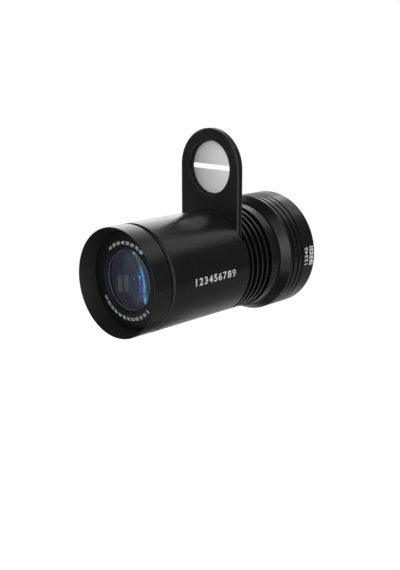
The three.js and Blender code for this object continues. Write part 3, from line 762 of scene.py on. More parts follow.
def smoothed(piece):
    """Smooth shading but for sharp corners, with normals led by the larger faces."""
    mesh = piece.data
    mesh.polygons.foreach_set("use_smooth", [True] * len(mesh.polygons))
    mesh.set_sharp_from_angle(angle=SHARP_ANGLE)
    weighted = piece.modifiers.new("weighted_normals", "WEIGHTED_NORMAL")
    weighted.keep_sharp = True
    return piece


def spun(name, outline, finish, segments=TURNED_SEGMENTS, place=axial):
    """Turns an outline of (radius, station) about the axis. One that starts on the axis ends on it."""
    on_axis = outline[0][0] == 0
    vertices, rings = [], []
    for radius, station in outline:
        first = len(vertices)
        if radius == 0:
            vertices.append(place(0, station, 0))
            rings.append([first] * segments)
        else:
            for i in range(segments):
                vertices.append(place(radius, station, 2 * math.pi * i / segments))
            rings.append(list(range(first, first + segments)))
    faces = []
    for j in range(len(rings) - (1 if on_axis else 0)):
        here, there = rings[j], rings[(j + 1) % len(rings)]
        for i in range(segments):
            k = (i + 1) % segments
            corners = [here[i], here[k], there[k], there[i]]
            faces.append(list(dict.fromkeys(corners)))
    return made(name, vertices, faces, finish)


def turned(name, outline, finish, edge=SOFT_EDGE):
    return spun(name, rounded(outline, edge), finish)


def ring(outer, inner, front, rear):
    return [(outer, front), (outer, rear), (inner, rear), (inner, front)]


def arc(radius, centre, start, end, steps):
    """Points on an arc in X and Z, start to end."""
    points = []
    for i in range(steps + 1):
        angle = start + (end - start) * i / steps
        points.append((centre[0] + radius * math.cos(angle), centre[1] + radius * math.sin(angle)))
    return points


def circle(radius, centre=(0, 0), steps=TURNED_SEGMENTS):
    return arc(radius, centre, 0, 2 * math.pi, steps)[:-1]


def stadium(radius, lower, upper):
    steps = TURNED_SEGMENTS // 2
    return arc(radius, (0, upper), 0, math.pi, steps) + arc(radius, (0, lower), math.pi, 2 * math.pi, steps)


def slit(size, height):
    length, width = size
    right, top = length / 2, width / 2
    return [(-right, height - top), (right, height - top), (right, height + top), (-right, height + top)]


def plate(name, loops, front, rear, finish, outer_edge=0, hole_edge=0):
    """Loops in X and Z, the first outside and the rest holes, made into a plate with softened edges."""
    shape = bmesh.new()
    rim = []
    outside = set()
    for loop in loops:
        corners = [shape.verts.new((x * MM, (front - OVERALL_LENGTH) * MM, z * MM)) for x, z in loop]
        for i, corner in enumerate(corners):
            rim.append(shape.edges.new((corner, corners[(i + 1) % len(corners)])))
        if not outside:
            outside = {(corner.co.x, corner.co.z) for corner in corners}
    bmesh.ops.triangle_fill(shape, use_beauty=True, use_dissolve=False, edges=rim)
    shape.normal_update()
    skin = bmesh.ops.extrude_face_region(shape, geom=list(shape.faces))
    moved = [item for item in skin["geom"] if isinstance(item, bmesh.types.BMVert)]
    bmesh.ops.translate(shape, verts=moved, vec=(0, (rear - front) * MM, 0))
    bmesh.ops.recalc_face_normals(shape, faces=shape.faces)
    rims = []
    for edge in shape.edges:
        level = abs(edge.verts[0].co.y - edge.verts[1].co.y) < LEVEL * MM
        if level and edge.calc_face_angle(0) > RIM_ANGLE:
            at = edge.verts[0].co
            rims.append((edge, (at.x, at.z) in outside))
    for width, wanted in ((outer_edge, True), (hole_edge, False)):
        edges = [edge for edge, is_outer in rims if is_outer == wanted and edge.is_valid]
        if width and edges:
            bmesh.ops.bevel(
                shape, geom=edges, offset=width * MM, offset_type="OFFSET", affect="EDGES",
                segments=1 if width == FRAME_CHAMFER else PLATE_STEPS, profile=ROUND_PROFILE,
                clamp_overlap=True,
            )
    return formed(name, shape, [finish])


def box_tool(low, high):
    """A box between two corners of (x, station, z)."""
    (x0, s0, z0), (x1, s1, z1) = low, high
    return plate("tool", [[(x0, z0), (x1, z0), (x1, z1), (x0, z1)]], s0, s1, black_anodised)


def upright_tool(radius, station, low, high):
    """A cylinder that stands up at a station."""
    def place(r, z, angle):
        return offset(r * math.cos(angle), station + r * math.sin(angle), z)

    outline = [(0, low), (radius, low), (radius, high), (0, high)]
    return spun("tool", outline, black_anodised, SMALL_SEGMENTS, place)


def carved(piece, *tools):
    """The piece less its tools."""
    for tool in tools:
        cutter = piece.modifiers.new("cut", "BOOLEAN")
        cutter.operation = "DIFFERENCE"
        cutter.solver = "EXACT"
        cutter.object = tool
    graph = bpy.context.evaluated_depsgraph_get()
    result = bpy.data.meshes.new_from_object(piece.evaluated_get(graph))
    piece.modifiers.clear()
    piece.data = result
    for tool in tools:
        bpy.data.objects.remove(tool)
    return piece


def joined(name, parts):
    """Several meshes as one piece."""
    shape = bmesh.new()
    for part in parts:
        shape.from_mesh(part.data)
    piece = formed(name, shape, parts[0].data.materials)
    for part in parts:
        bpy.data.objects.remove(part)
    return piece


def fitted(piece, body, slot, *nodes):
    """Puts a finished piece on its body, in place of the nodes that it stands for."""
    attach(piece, body)
    if nodes:
        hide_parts(*nodes)


def fit_turned(node, body, slot, outline, finish, edge, *tools):
    """Turns the piece that stands for a node, cuts it with its tools and fits it."""
    piece = turned(f"{node}_turned", outline, finish, edge)
    if tools:
        carved(piece, *tools)
    fitted(smoothed(piece), body, slot, node)


# Focus ring and lens unit

def painted(piece, finish, wanted):
    """Gives another finish to the faces whose radius and station pass a test."""
    finishes = piece.data.materials
    finishes.append(finish)
    for face in piece.data.polygons:
        radius = math.hypot(face.center.x, face.center.z) / MM
        if wanted(radius, face.center.y / MM + OVERALL_LENGTH):
            face.material_index = len(finishes) - 1


def lens(node, body, shape, plane, towards_rear, flat_finish, round_finish):
    """A plano-convex lens. towards_rear is 1 when its round side faces the rear, and -1 the front."""
    radius, curvature, edge = shape
    crown = sag(curvature, radius)
    outline = [(0, plane), (radius, plane)]
    for step in range(LENS_STEPS + 1):
        r = radius * (LENS_STEPS - step) / LENS_STEPS
        outline.append((r, plane + towards_rear * (edge + crown - sag(curvature, r))))
    glass = spun(f"{node}_glass", outline, flat_finish)
    painted(glass, round_finish, lambda r, station: towards_rear * (station - plane) > edge)
    fitted(smoothed(glass), body, "coated_glass", node)


focus_ring_outline = [
    (FOCUS_RING_RADIUS, 0),
    (FOCUS_RING_RADIUS, FOCUS_RING_LENGTH),
    (SLEEVE_RADIUS, FOCUS_RING_LENGTH),
    (SLEEVE_RADIUS, FRICTION_FRONT),
    (FRICTION_FLOOR, FRICTION_FRONT),
    (FRICTION_FLOOR, FRICTION_REAR),
    (SLEEVE_RADIUS, FRICTION_REAR),
    (SLEEVE_RADIUS, SLEEVE_REAR),
    (SLEEVE_BORE, SLEEVE_REAR),
    (SLEEVE_BORE, NAME_RING_REAR + GAP),
    (NAME_RING_RADIUS + GAP, NAME_RING_REAR + GAP),
    (NAME_RING_RADIUS + GAP, HOOD_DEPTH),
    (HOOD_MOUTH, RIM_WIDTH),
    (HOOD_MOUTH, 0),
]
focus_ring = turned("focus_ring_turned", focus_ring_outline, black_anodised)
painted(focus_ring, hood_black, lambda radius, station: radius < HOOD_MOUTH and station < HOOD_DEPTH)
fitted(smoothed(focus_ring), "focus_unit", "black_anodised", "focus_ring")

name_ring_outline = [
    (NAME_RING_RADIUS, HOOD_DEPTH),
    (NAME_RING_RADIUS, NAME_RING_REAR),
    (SKIRT_RADIUS, NAME_RING_REAR),
    (SKIRT_RADIUS, SKIRT_REAR),
    (CELL_BORE, SKIRT_REAR),
    (CELL_BORE, LENS_SEAT),
    (LENS_CLEAR_RADIUS, LENS_SEAT),
    (LENS_CLEAR_RADIUS, BEVEL_REAR),
    (NAME_RING_MOUTH, NAME_RING_CREST),
]
name_ring = turned("name_ring_turned", name_ring_outline, matt_black, FINE_EDGE)
bore_limit = LENS_CLEAR_RADIUS + LEVEL
# The bevel faces get the black finish with the painted blue sheen.
painted(name_ring, bevel_painted_blue_sheen, lambda r, station: bore_limit < r < NAME_RING_MOUTH and station < BEVEL_REAR)
# The lens land gets the painted pale highlight.
painted(name_ring, lens_land_painted_highlight, lambda r, station: r < bore_limit)
fitted(smoothed(name_ring), "lens_unit", "matt_black", "name_ring")

tube_outline = [
    (TUBE_RADIUS, NAME_RING_REAR),
    (TUBE_RADIUS, CLIP_GROOVE_FRONT),
    (CLIP_FLOOR, CLIP_GROOVE_FRONT),
    (CLIP_FLOOR, CLIP_GROOVE_REAR),
    (TUBE_RADIUS, CLIP_GROOVE_REAR),
    (TUBE_RADIUS, TUBE_REAR),
    (TUBE_BORE, TUBE_REAR),
    (TUBE_BORE, SHOULDER_REAR),
    (SHOULDER_BORE, SHOULDER_REAR),
    (SHOULDER_BORE, SHOULDER_FRONT),
    (CELL_BORE, SHOULDER_FRONT),
    (CELL_BORE, SKIRT_REAR + GAP),
    (SKIRT_BORE, SKIRT_REAR + GAP),
    (SKIRT_BORE, NAME_RING_REAR),
]
slot_half_width = GUIDE_RADIUS + GAP
guide_slot = box_tool(
    (-slot_half_width, GUIDE_SLOT_FRONT, -BARREL_RADIUS),
    (slot_half_width, GUIDE_SLOT_REAR, -TUBE_BORE / 2),
)
fit_turned("lens_tube", "lens_unit", "matt_black", tube_outline, matt_black, FINE_EDGE, guide_slot)

lens("front_lens", "lens_unit", PROJECTION_LENS, FRONT_LENS_PLANE, 1, coated_glass, plain_glass)
lens("rear_lens", "lens_unit", PROJECTION_LENS, REAR_LENS_PLANE, -1, coated_glass, teal_glass)
spacer_outline = ring(
    LENS_RADIUS, SPACER_BORE, FRONT_LENS_EDGE + SPACER_STAND_OFF, REAR_LENS_EDGE - SPACER_STAND_OFF
)
fit_turned("lens_spacer", "lens_unit", "matt_black", spacer_outline, matt_black, FINE_EDGE)


# Barrel, finned body and gate

def saw_tool(rear):
    """A cut as wide as the part, from the holder's front to a station."""
    reach = HOUSING_RADIUS
    return box_tool((-reach, CHANNEL_FRONT, SAW_CUT_HEIGHT), (reach, rear, reach))


def channel_tool(radius, lower, rear):
    """A stadium from the holder's front to a station, open above the barrel."""
    loops = [stadium(radius, lower, WINDOW_SPACING)]
    return plate("tool", loops, CHANNEL_FRONT, rear, black_anodised)


barrel_outline = [
    (BARREL_RADIUS - BARREL_CHAMFER, BARREL_FRONT),
    (BARREL_RADIUS, BARREL_FRONT + BARREL_CHAMFER),
    (BARREL_RADIUS, BARREL_REAR),
    (BARREL_BORE, BARREL_REAR),
    (BARREL_BORE, BARREL_FRONT),
]
guide_seat = GUIDE_HEAD_HEIGHT + GAP - BARREL_RADIUS
fit_turned(
    "barrel", "body", "black_anodised", barrel_outline, black_anodised, SOFT_EDGE,
    saw_tool(BARREL_REAR + OVERRUN),
    upright_tool(GUIDE_HEAD_RADIUS + GAP, GUIDE_STATION, -HOUSING_RADIUS, guide_seat),
    upright_tool(GUIDE_RADIUS + GAP, GUIDE_STATION, -HOUSING_RADIUS, -SLEEVE_BORE),
)

body_outline = [(SPIGOT_RADIUS, BODY_FRONT)]
for fin in range(FIN_COUNT):
    fin_front = FIN_FRONT + fin * FIN_PITCH
    body_outline += [
        (SPIGOT_RADIUS, fin_front),
        (BARREL_RADIUS, fin_front),
        (BARREL_RADIUS, fin_front + FIN_WIDTH),
        (SPIGOT_RADIUS, fin_front + FIN_WIDTH),
    ]
body_outline += [
    (SPIGOT_RADIUS, COLLAR_FRONT),
    (COLLAR_RADIUS, COLLAR_FRONT),
    (COLLAR_RADIUS, COLLAR_REAR),
    (REAR_SPIGOT_RADIUS, COLLAR_REAR),
    (REAR_SPIGOT_RADIUS, BODY_REAR),
    (BODY_BORE, BODY_REAR),
    (BODY_BORE, GATE_COVER_FRONT),
    (BODY_LIP_BORE, GATE_COVER_FRONT),
    (BODY_LIP_BORE, BODY_FRONT),
]
fit_turned(
    "finned_body", "body", "black_anodised", body_outline, black_anodised, FIN_EDGE,
    saw_tool(FIN_FRONT),
    channel_tool(CHANNEL_HALF_WIDTH, 0, GOBO_FRONT),
    channel_tool(GOBO_HALF_WIDTH + GAP, GOBO_LOWER_CENTRE, CHANNEL_REAR),
    upright_tool(GATE_SCREW_RADIUS + GAP, GATE_SCREW_STATION, -BARREL_RADIUS, -GATE_APERTURE),
)

gate_outline = [
    (GATE_RADIUS, CHANNEL_FRONT),
    (GATE_RADIUS, GATE_REAR),
    (GATE_SEAT_BORE, GATE_REAR),
    (GATE_SEAT_BORE, GATE_SEAT_FRONT),
    (GATE_APERTURE, GATE_SEAT_FRONT),
    (GATE_APERTURE, CHANNEL_FRONT),
]
gate_block = carved(
    turned("gate_block_milled", gate_outline, matt_black, FINE_EDGE),
    channel_tool(CHANNEL_HALF_WIDTH, 0, GOBO_FRONT),
    channel_tool(GOBO_HALF_WIDTH + GAP, GOBO_LOWER_CENTRE, CHANNEL_REAR),
)
fitted(smoothed(gate_block), "body", "matt_black", "gate_block")
gate_cover_outline = ring(GATE_RADIUS, GATE_APERTURE, GATE_COVER_FRONT, CHANNEL_FRONT)
fit_turned("gate_cover", "body", "matt_black", gate_cover_outline, matt_black, FINE_EDGE)


def slotted_screw(node, head_radius, head_height, radius, length, place):
    """A cylinder-head screw with a driver slot. place turns (radius, depth, angle) into a point."""
    outline = [(0, 0), (head_radius, 0), (head_radius, head_height), (radius, head_height), (radius, length)]
    outline += [(0, length)]
    screw = spun(f"{node}_turned", rounded(outline, FINE_EDGE, False), black_steel, SMALL_SEGMENTS, place)
    half_width, depth = head_radius * DRIVER_SLOT_SHARE, head_height / 2
    corners = []
    for x in (-half_width, half_width):
        for y in (-head_radius - GAP, head_radius + GAP):
            for z in (-GAP, depth):
                corners.append(place(math.hypot(x, y), z, math.atan2(y, x)))
    sides = [(0, 1, 3, 2), (4, 5, 7, 6), (0, 1, 5, 4), (2, 3, 7, 6), (0, 2, 6, 4), (1, 3, 7, 5)]
    carved(screw, made("tool", corners, sides, black_steel))
    fitted(smoothed(screw), "body", "black_steel", node)


def underside(station, depth):
    """Places a screw that stands in the underside, its head at a depth below the barrel's face."""
    def place(r, d, angle):
        return offset(r * math.cos(angle), station + r * math.sin(angle), depth + d)
    return place


slotted_screw(
    "guide_screw", GUIDE_HEAD_RADIUS, GUIDE_HEAD_HEIGHT, GUIDE_RADIUS,
    BARREL_RADIUS - SCREW_SINK - GUIDE_TIP, underside(GUIDE_STATION, SCREW_SINK - BARREL_RADIUS),
)


# Condenser, rear housing and mount

lens("front_condenser", "body", CONDENSER_LENS, FRONT_CONDENSER_PLANE, 1, condenser_glass, condenser_glass)
lens("rear_condenser", "body", CONDENSER_LENS, REAR_CONDENSER_PLANE, -1, condenser_glass, condenser_glass)
retainer_outline = ring(CONDENSER_RADIUS, CONDENSER_RING_BORE, CONDENSER_RING_FRONT, CONDENSER_RING_REAR)
spanner_circle = (CONDENSER_RADIUS + CONDENSER_RING_BORE) / 2
spanner_slots = [
    box_tool(
        (x - SPANNER_SLOT / 2, CONDENSER_RING_REAR - OVERRUN, -SPANNER_SLOT / 2),
        (x + SPANNER_SLOT / 2, CONDENSER_RING_REAR + OVERRUN, SPANNER_SLOT / 2),
    )
    for x in (-spanner_circle, spanner_circle)
]
fit_turned("condenser_ring", "body", "matt_black", retainer_outline, matt_black, SOFT_EDGE, *spanner_slots)

housing_outline = [(CONE_FRONT_RADIUS, COLLAR_REAR), (HOUSING_RADIUS, HOUSING_FLAT_FRONT)]
for groove in range(GROOVE_COUNT):
    groove_front = HOUSING_FLAT_FRONT + GROOVE_START + groove * GROOVE_PITCH
    housing_outline += [
        (HOUSING_RADIUS, groove_front),
        (HOUSING_RADIUS - GROOVE_DEPTH, groove_front),
        (HOUSING_RADIUS - GROOVE_DEPTH, groove_front + GROOVE_WIDTH),
        (HOUSING_RADIUS, groove_front + GROOVE_WIDTH),
    ]
housing_outline += [
    (HOUSING_RADIUS, OVERALL_LENGTH),
    (MOUNT_RECESS_RADIUS, OVERALL_LENGTH),
    (MOUNT_RECESS_RADIUS, MOUNT_RING_FRONT),
    (RACE_BORE, MOUNT_RING_FRONT),
    (RACE_BORE, RACE_FRONT),
    (LIP_BORE, RACE_FRONT),
    (LIP_BORE, LIP_FRONT),
    (HOUSING_BORE, LIP_FRONT),
    (HOUSING_BORE, COLLAR_REAR),
]
fit_turned("rear_housing", "body", "black_anodised", housing_outline, black_anodised, FIN_EDGE)
notched_hole = []
screw_places = []
lug_pitch = 2 * math.pi / LUG_COUNT
for lug in range(LUG_COUNT):
    angle = 2 * math.pi * lug / LUG_COUNT - math.pi / 2
    screw_places.append((SCREW_CIRCLE * math.cos(angle), SCREW_CIRCLE * math.sin(angle)))
    start = angle + math.pi / LUG_COUNT - NOTCH_HALF_ANGLE
    end = angle + math.pi / LUG_COUNT + NOTCH_HALF_ANGLE
    notched_hole += arc(NOTCH_RADIUS, (0, 0), start, end, NOTCH_STEPS)
    notched_hole += arc(MOUNT_HOLE_RADIUS, (0, 0), end, start + lug_pitch, RIM_STEPS)
screw_holes = [circle(SCREW_HEAD_RADIUS + GAP, place, SMALL_SEGMENTS) for place in screw_places]
mount_ring = plate(
    "mount_ring_milled", [circle(MOUNT_RING_RADIUS), notched_hole, *screw_holes],
    MOUNT_RING_FRONT, OVERALL_LENGTH, black_steel, SOFT_EDGE, SOFT_EDGE,
)
fitted(smoothed(mount_ring), "body", "black_steel", "mount_ring")


def rear_place(centre):
    def place(r, d, angle):
        x, z = centre
        station = OVERALL_LENGTH - SCREW_SINK - d
        return offset(x + r * math.cos(angle), station, z + r * math.sin(angle))
    return place


for index, centre in enumerate(screw_places):
    slotted_screw(
        f"mount_screw_{index + 1}", SCREW_HEAD_RADIUS, SCREW_HEAD_HEIGHT, SCREW_RADIUS,
        SCREW_LENGTH - SCREW_SINK, rear_place(centre),
    )


# Holder and gobo slide

def windows(radius):
    return [circle(radius), circle(radius, (0, WINDOW_SPACING))]


holder_outline = stadium(HOLDER_HALF_WIDTH, 0, WINDOW_SPACING)
holder = plate(
    "holder_frame_milled", [holder_outline, *windows(WINDOW_RADIUS)],
    HOLDER_FRONT, SHEET_FRONT, black_anodised, FRAME_CHAMFER, SOFT_EDGE,
)
fitted(smoothed(holder), "holder", "black_anodised", "holder_frame")
sheet = plate(
    "magnet_sheet_cut", [holder_outline, *windows(WINDOW_RADIUS - SHEET_LIP)],
    SHEET_FRONT, SHEET_REAR, magnet_rubber, FINE_EDGE, FINE_EDGE,
)
fitted(smoothed(sheet), "holder", "magnet_rubber", "magnet_sheet")
gobo_outline = stadium(GOBO_HALF_WIDTH, GOBO_LOWER_CENTRE, GOBO_UPPER_CENTRE)
gobo = plate(
    "gobo_slide_etched", [gobo_outline, slit(LONG_SLIT, WINDOW_SPACING), slit(SHORT_SLIT, 0)],
    GOBO_FRONT, GOBO_REAR, gobo_steel, GOBO_EDGE, GOBO_EDGE,
)
fitted(smoothed(gobo), "gobo", "gobo_steel", "gobo_slide")


# Printed marks: plain numbers and ruled lines

def glyph(text, height):
    """A number as flat corners and faces, centred on its own origin and drawn to a height."""
    curve = bpy.data.curves.new("glyph", "FONT")
    curve.body = text
    curve.offset = BOLD_SHARE
    drawn = new_object("glyph", curve)
    graph = bpy.context.evaluated_depsgraph_get()
    mesh = bpy.data.meshes.new_from_object(drawn.evaluated_get(graph))
    bpy.data.objects.remove(drawn)
    shape = bmesh.new()
    shape.from_mesh(mesh)
    low = [min(vertex.co[axis] for vertex in shape.verts) for axis in range(2)]
    high = [max(vertex.co[axis] for vertex in shape.verts) for axis in range(2)]
    scale = height / (high[1] - low[1])
    for vertex in shape.verts:
        vertex.co.x = (vertex.co.x - (low[0] + high[0]) / 2) * scale * BROAD_SHARE
        vertex.co.y = (vertex.co.y - (low[1] + high[1]) / 2) * scale
    bmesh.ops.remove_doubles(shape, verts=shape.verts, dist=height * WELD_SHARE)
    return shape


def bar(width, height):
    shape = bmesh.new()
    corners = [(-width, -height), (width, -height), (width, height), (-width, height)]
    shape.faces.new([shape.verts.new((x / 2, y / 2, 0)) for x, y in corners])
    return shape


def sliced(shape, axis):
    """Cuts a flat mark into strips, so that it can follow a round face."""
    values = [vertex.co[axis] for vertex in shape.verts]
    low, high = min(values), max(values)
    normal = Vector((1, 0, 0)) if axis == 0 else Vector((0, 1, 0))
    steps = int((high - low) / INK_STRIP)
    for step in range(1, steps + 1):
        point = normal * (low + step * (high - low) / (steps + 1))
        everything = list(shape.verts) + list(shape.edges) + list(shape.faces)
        bmesh.ops.bisect_plane(shape, geom=everything, plane_co=point, plane_no=normal)
    return shape


def ink(shape, place, finish, layer=0):
    """Gives a flat mark its thickness and lays it on a face. place takes (u, v, proud)."""
    skin = bmesh.ops.extrude_face_region(shape, geom=list(shape.faces))
    raised = {item for item in skin["geom"] if isinstance(item, bmesh.types.BMVert)}
    for vertex in shape.verts:
        proud = INK_PROUD * (layer + 1) if vertex in raised else INK_PROUD * layer - INK_ROOT
        vertex.co = place(vertex.co.x, vertex.co.y, proud)
    bmesh.ops.recalc_face_normals(shape, faces=shape.faces)
    return formed("mark", shape, [finish])


def on_name_ring(radius, angle):
    """Marks on the name ring's shallow cone read clockwise, their feet towards the lens."""
    slope = (HOOD_DEPTH - NAME_RING_CREST) / (NAME_RING_RADIUS - NAME_RING_MOUTH)

    def place(u, v, proud):
        r = radius + v
        station = NAME_RING_CREST + (r - NAME_RING_MOUTH) * slope - proud
        return axial(r, station, angle - u / radius)
    return place


def along_barrel(radius, station, angle):
    """Marks that read along the axis, from the front to the rear."""
    def place(u, v, proud):
        return axial(radius + proud, station + u, angle + v / radius)
    return place


def round_band(radius, station, angle):
    """Marks that read up round the band."""
    def place(u, v, proud):
        return axial(radius + proud, station - v, angle + u / radius)
    return place


name_marks = []
for radius, (start, end), step, count in NAME_ARCS:
    for i in range(count):
        angle = math.radians(start + (end - start) * i / (count - 1))
        number = glyph(str(step * (i + 1)), NAME_NUMBER_HEIGHT)
        name_marks.append(ink(number, on_name_ring(radius, angle), white_ink))
fitted(joined("name_ring_marks", name_marks), "lens_unit", "matt_black")

barrel_marks = []
for i in range(BARREL_NUMBER_COUNT):
    mark = sliced(glyph(str(i + 1), BARREL_NUMBER_HEIGHT), 1)
    spot = along_barrel(BARREL_RADIUS, BARREL_NUMBER_FIRST + i * BARREL_NUMBER_PITCH, 0)
    barrel_marks.append(ink(mark, spot, white_ink))
fitted(joined("barrel_marks", barrel_marks), "body", "black_anodised")

band_marks = []
panel_marks = []
band_station = OVERALL_LENGTH - BAND_NUMBER_INSET
panel_station = OVERALL_LENGTH - PANEL_INSET
for i in range(BAND_NUMBER_COUNT):
    angle = (i - BAND_NUMBER_COUNT // 2) * BAND_NUMBER_PITCH / HOUSING_RADIUS
    mark = sliced(glyph(str(i + 1), BAND_NUMBER_HEIGHT), 0)
    band_marks.append(ink(mark, round_band(HOUSING_RADIUS, band_station, angle), white_ink))
    mark = sliced(glyph(str(i + 1), PANEL_NUMBER_HEIGHT), 0)
    panel_marks.append(ink(mark, round_band(HOUSING_RADIUS, panel_station, angle), dark_ink, layer=1))
panel = sliced(bar(*PANEL_SIZE), 0)
band_marks.append(ink(panel, round_band(HOUSING_RADIUS, panel_station, 0), white_ink))
fitted(joined("band_marks", band_marks), "body", "black_anodised")
fitted(joined("panel_marks", panel_marks), "body", "black_anodised")


def on_slide_rear(centre_x, centre_z):
    def place(u, v, proud):
        station = GOBO_REAR + proud * RULE_INK_SHARE
        return offset(-centre_x - u, station, centre_z + v)
    return place


slide_marks = [ink(bar(RULE_LENGTH, RULE_WIDTH), on_slide_rear(0, RULE_HEIGHT), grey_ink)]
for i in range(RULE_COUNT):
    from_middle = i - RULE_COUNT // 2
    length = RULE_SHORT_MARK if from_middle % RULE_GROUP else RULE_LONG_MARK
    spot = on_slide_rear(from_middle * RULE_PITCH, RULE_HEIGHT + (RULE_WIDTH + length) / 2)
    slide_marks.append(ink(bar(RULE_WIDTH, length), spot, grey_ink))
fitted(joined("slide_marks", slide_marks), "gobo", "gobo_steel")


# Finishes of the nodes that keep their own shape

kept_finishes = {
    "friction_ring": black_rubber,
    "tube_clip": spring_steel,
    "holder_spring": spring_steel,
    "gate_screw": black_steel,
    "condenser_spacer": matt_black,
    "bayonet_spring": spring_steel,
}
for node, finish in kept_finishes.items():
    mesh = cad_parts[node].data
    mesh.materials.clear()
    mesh.materials.append(finish)


# Studio: white floor and surroundings, boards that only show in gloss and glass, and soft lamps

def direction(azimuth, elevation):
    """A vector of length one that points out at an azimuth and elevation."""
    a, e = math.radians(azimuth), math.radians(elevation)
    return Vector((math.sin(a) * math.cos(e), -math.cos(a) * math.cos(e), math.sin(e)))


def facing(thing, spot, aim):
    thing.location = spot
    thing.rotation_euler = (spot - aim).to_track_quat("Z", "Y").to_euler()


def flat_sheet(name, size, material):
    width, height = (length * MM / 2 for length in size)
    corners = [(-width, -height, 0), (width, -height, 0), (width, height, 0), (-width, height, 0)]
    sheet = made(name, corners, [(0, 1, 2, 3)], material)
    return sheet


def glowing_sheet(name, spot, aim, size):
    """A sheet that the camera, rough surfaces and shadows don't see, and the tree and glow of its finish."""
    material = bpy.data.materials.new(name)
    material.use_nodes = True
    tree = material.node_tree
    tree.nodes.clear()
    glow = add(tree, "ShaderNodeEmission")
    add(tree, "ShaderNodeOutputMaterial", {"Surface": glow.outputs[0]})
    sheet = flat_sheet(name, size, material)
    facing(sheet, spot, aim)
    sheet.visible_camera = False
    sheet.visible_diffuse = False
    sheet.visible_shadow = False
    return sheet, tree, glow


def board(name, spot, aim, size, tone):
    """A flat grey board."""
    sheet, tree, glow = glowing_sheet(name, spot, aim, size)
    feed(tree, glow, {"Strength": tone})


def glow_colour(tone):
    return (*[value / LENS_GLOW for value in tone], 1)


def lens_board(name, distance, middle, size, lean, fade, tones):
    """A board that shows only in the glass behind the front lens's face."""
    away = direction(*LENS_VIEW)
    right = away.cross(Vector((0, 0, 1))).normalized()
    up = right.cross(away)
    spot = lens_centre + (away * distance + right * middle[0] + up * middle[1]) * MM
    sheet, tree, glow = glowing_sheet(name, spot, spot - away, size)
    sheet.visible_glossy = False
    where = add(tree, "ShaderNodeSeparateXYZ", {0: object_place(tree)}).outputs
    across = computed(tree, "MULTIPLY_ADD", where["Y"], lean, where["X"])
    first, last = tones[0][0], tones[-1][0]
    centre = middle[0] - lean * middle[1]
    share = ranged(tree, across, (centre - first) * MM, (centre - last) * MM)
    ramp = add(tree, "ShaderNodeValToRGB", {"Fac": share})
    steps = ramp.color_ramp.elements
    for i, (place, tone) in enumerate(tones):
        position = (place - first) / (last - first)
        step = steps[i] if i < 2 else steps.new(position)
        step.position = position
        step.color = glow_colour(tone)
    height = computed(tree, "ABSOLUTE", where["Y"])
    start, end = fade
    faded = ranged(tree, height, start * MM, end * MM, curve="SMOOTHSTEP")
    colour = mixed(tree, faded, ramp.outputs["Color"], glow_colour(tones[0][1]))
    feed(tree, glow, {"Color": colour, "Strength": LENS_GLOW})


def softbox(name, spot, aim, size, power, in_gloss):
    lamp = bpy.data.lights.new(name, "AREA")
    lamp.shape = "RECTANGLE"
    lamp.size, lamp.size_y = (length * MM for length in size)
    lamp.energy = power
    thing = new_object(name, lamp)
    thing.visible_glossy = in_gloss
    facing(thing, spot, aim)


def seen_directly(tree):
    """One for camera, glossy and transmitted rays, and none for the rays that light the part."""
    rays = add(tree, "ShaderNodeLightPath").outputs
    seen = rays["Is Camera Ray"]
    for ray in ("Is Glossy Ray", "Is Transmission Ray"):
        seen = computed(tree, "MAXIMUM", seen, rays[ray])
    return seen


def shader_mix(tree, factor, first, second):
    values = {0: factor, 1: first.outputs[0], 2: second.outputs[0]}
    return add(tree, "ShaderNodeMixShader", values).outputs[0]


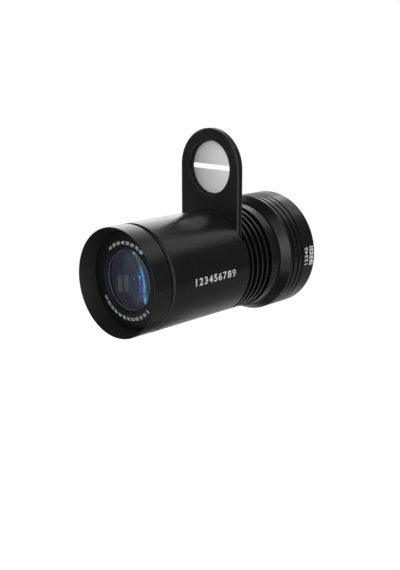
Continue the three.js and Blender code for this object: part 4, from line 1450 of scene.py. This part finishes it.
def white_world():
    world = bpy.data.worlds.new("white_surroundings")
    bpy.context.scene.world = world
    world.use_nodes = True
    tree = world.node_tree
    tree.nodes.clear()
    lit = add(tree, "ShaderNodeBackground", {"Strength": WORLD_LIGHT})
    shown = add(tree, "ShaderNodeBackground", {"Color": (1, 1, 1, 1), "Strength": 1})
    surface = shader_mix(tree, seen_directly(tree), lit, shown)
    add(tree, "ShaderNodeOutputWorld", {"Surface": surface})


def white_floor():
    material, tree, paper = shader("white_floor")
    feed(tree, paper, {
        "Base Color": (FLOOR_TONE, FLOOR_TONE, FLOOR_TONE, 1),
        "Roughness": FLOOR_ROUGHNESS,
        "Specular IOR Level": FLOOR_GLOSS,
    })
    glow = add(tree, "ShaderNodeEmission", {"Strength": FLOOR_GLOW})
    share = computed(tree, "MULTIPLY", seen_directly(tree), FLOOR_GLOW_SHARE)
    feed(tree, tree.nodes["Material Output"], {"Surface": shader_mix(tree, share, paper, glow)})
    floor = flat_sheet("floor", (FLOOR_SIZE, FLOOR_SIZE), material)
    floor.location = (0, 0, -FLOOR_DROP * MM)


white_world()
white_floor()

target = Vector((0, -CAMERA_REAR_DISTANCE, 0)) * MM
lens_centre = Vector((0, LENS_SEAT - OVERALL_LENGTH, 0)) * MM

for aim, boards in ((target, BOARDS), (lens_centre, PANES)):
    for name, (azimuth, elevation, distance, size, tone) in boards.items():
        board(name, aim + direction(azimuth, elevation) * distance * MM, aim, size, tone)

for name, (place, size, tone) in LOW_BOARDS.items():
    spot = target + Vector(place) * MM
    board(name, spot, spot + Vector((0, 0, 1)), size, tone)

place, aim, size, tone = REAR_SHADE
board("rear_shade", target + Vector(place) * MM, target + Vector(aim) * MM, size, tone)

for name, values in LENS_BOARDS.items():
    lens_board(name, *values)

for name, (azimuth, elevation, distance, size, power, in_gloss) in LAMPS.items():
    softbox(name, target + direction(azimuth, elevation) * distance * MM, target, size, power, in_gloss)

camera = bpy.data.cameras.new("camera")
camera.sensor_width = CAMERA_SENSOR
camera.lens = CAMERA_LENS
camera.shift_x, camera.shift_y = CAMERA_SHIFT
viewer = new_object("camera", camera)
back = direction(CAMERA_AZIMUTH, CAMERA_ELEVATION)
facing(viewer, target + back * CAMERA_DISTANCE * MM, target)
bpy.context.scene.camera = viewer
bpy.context.scene.view_settings.view_transform = "Standard"
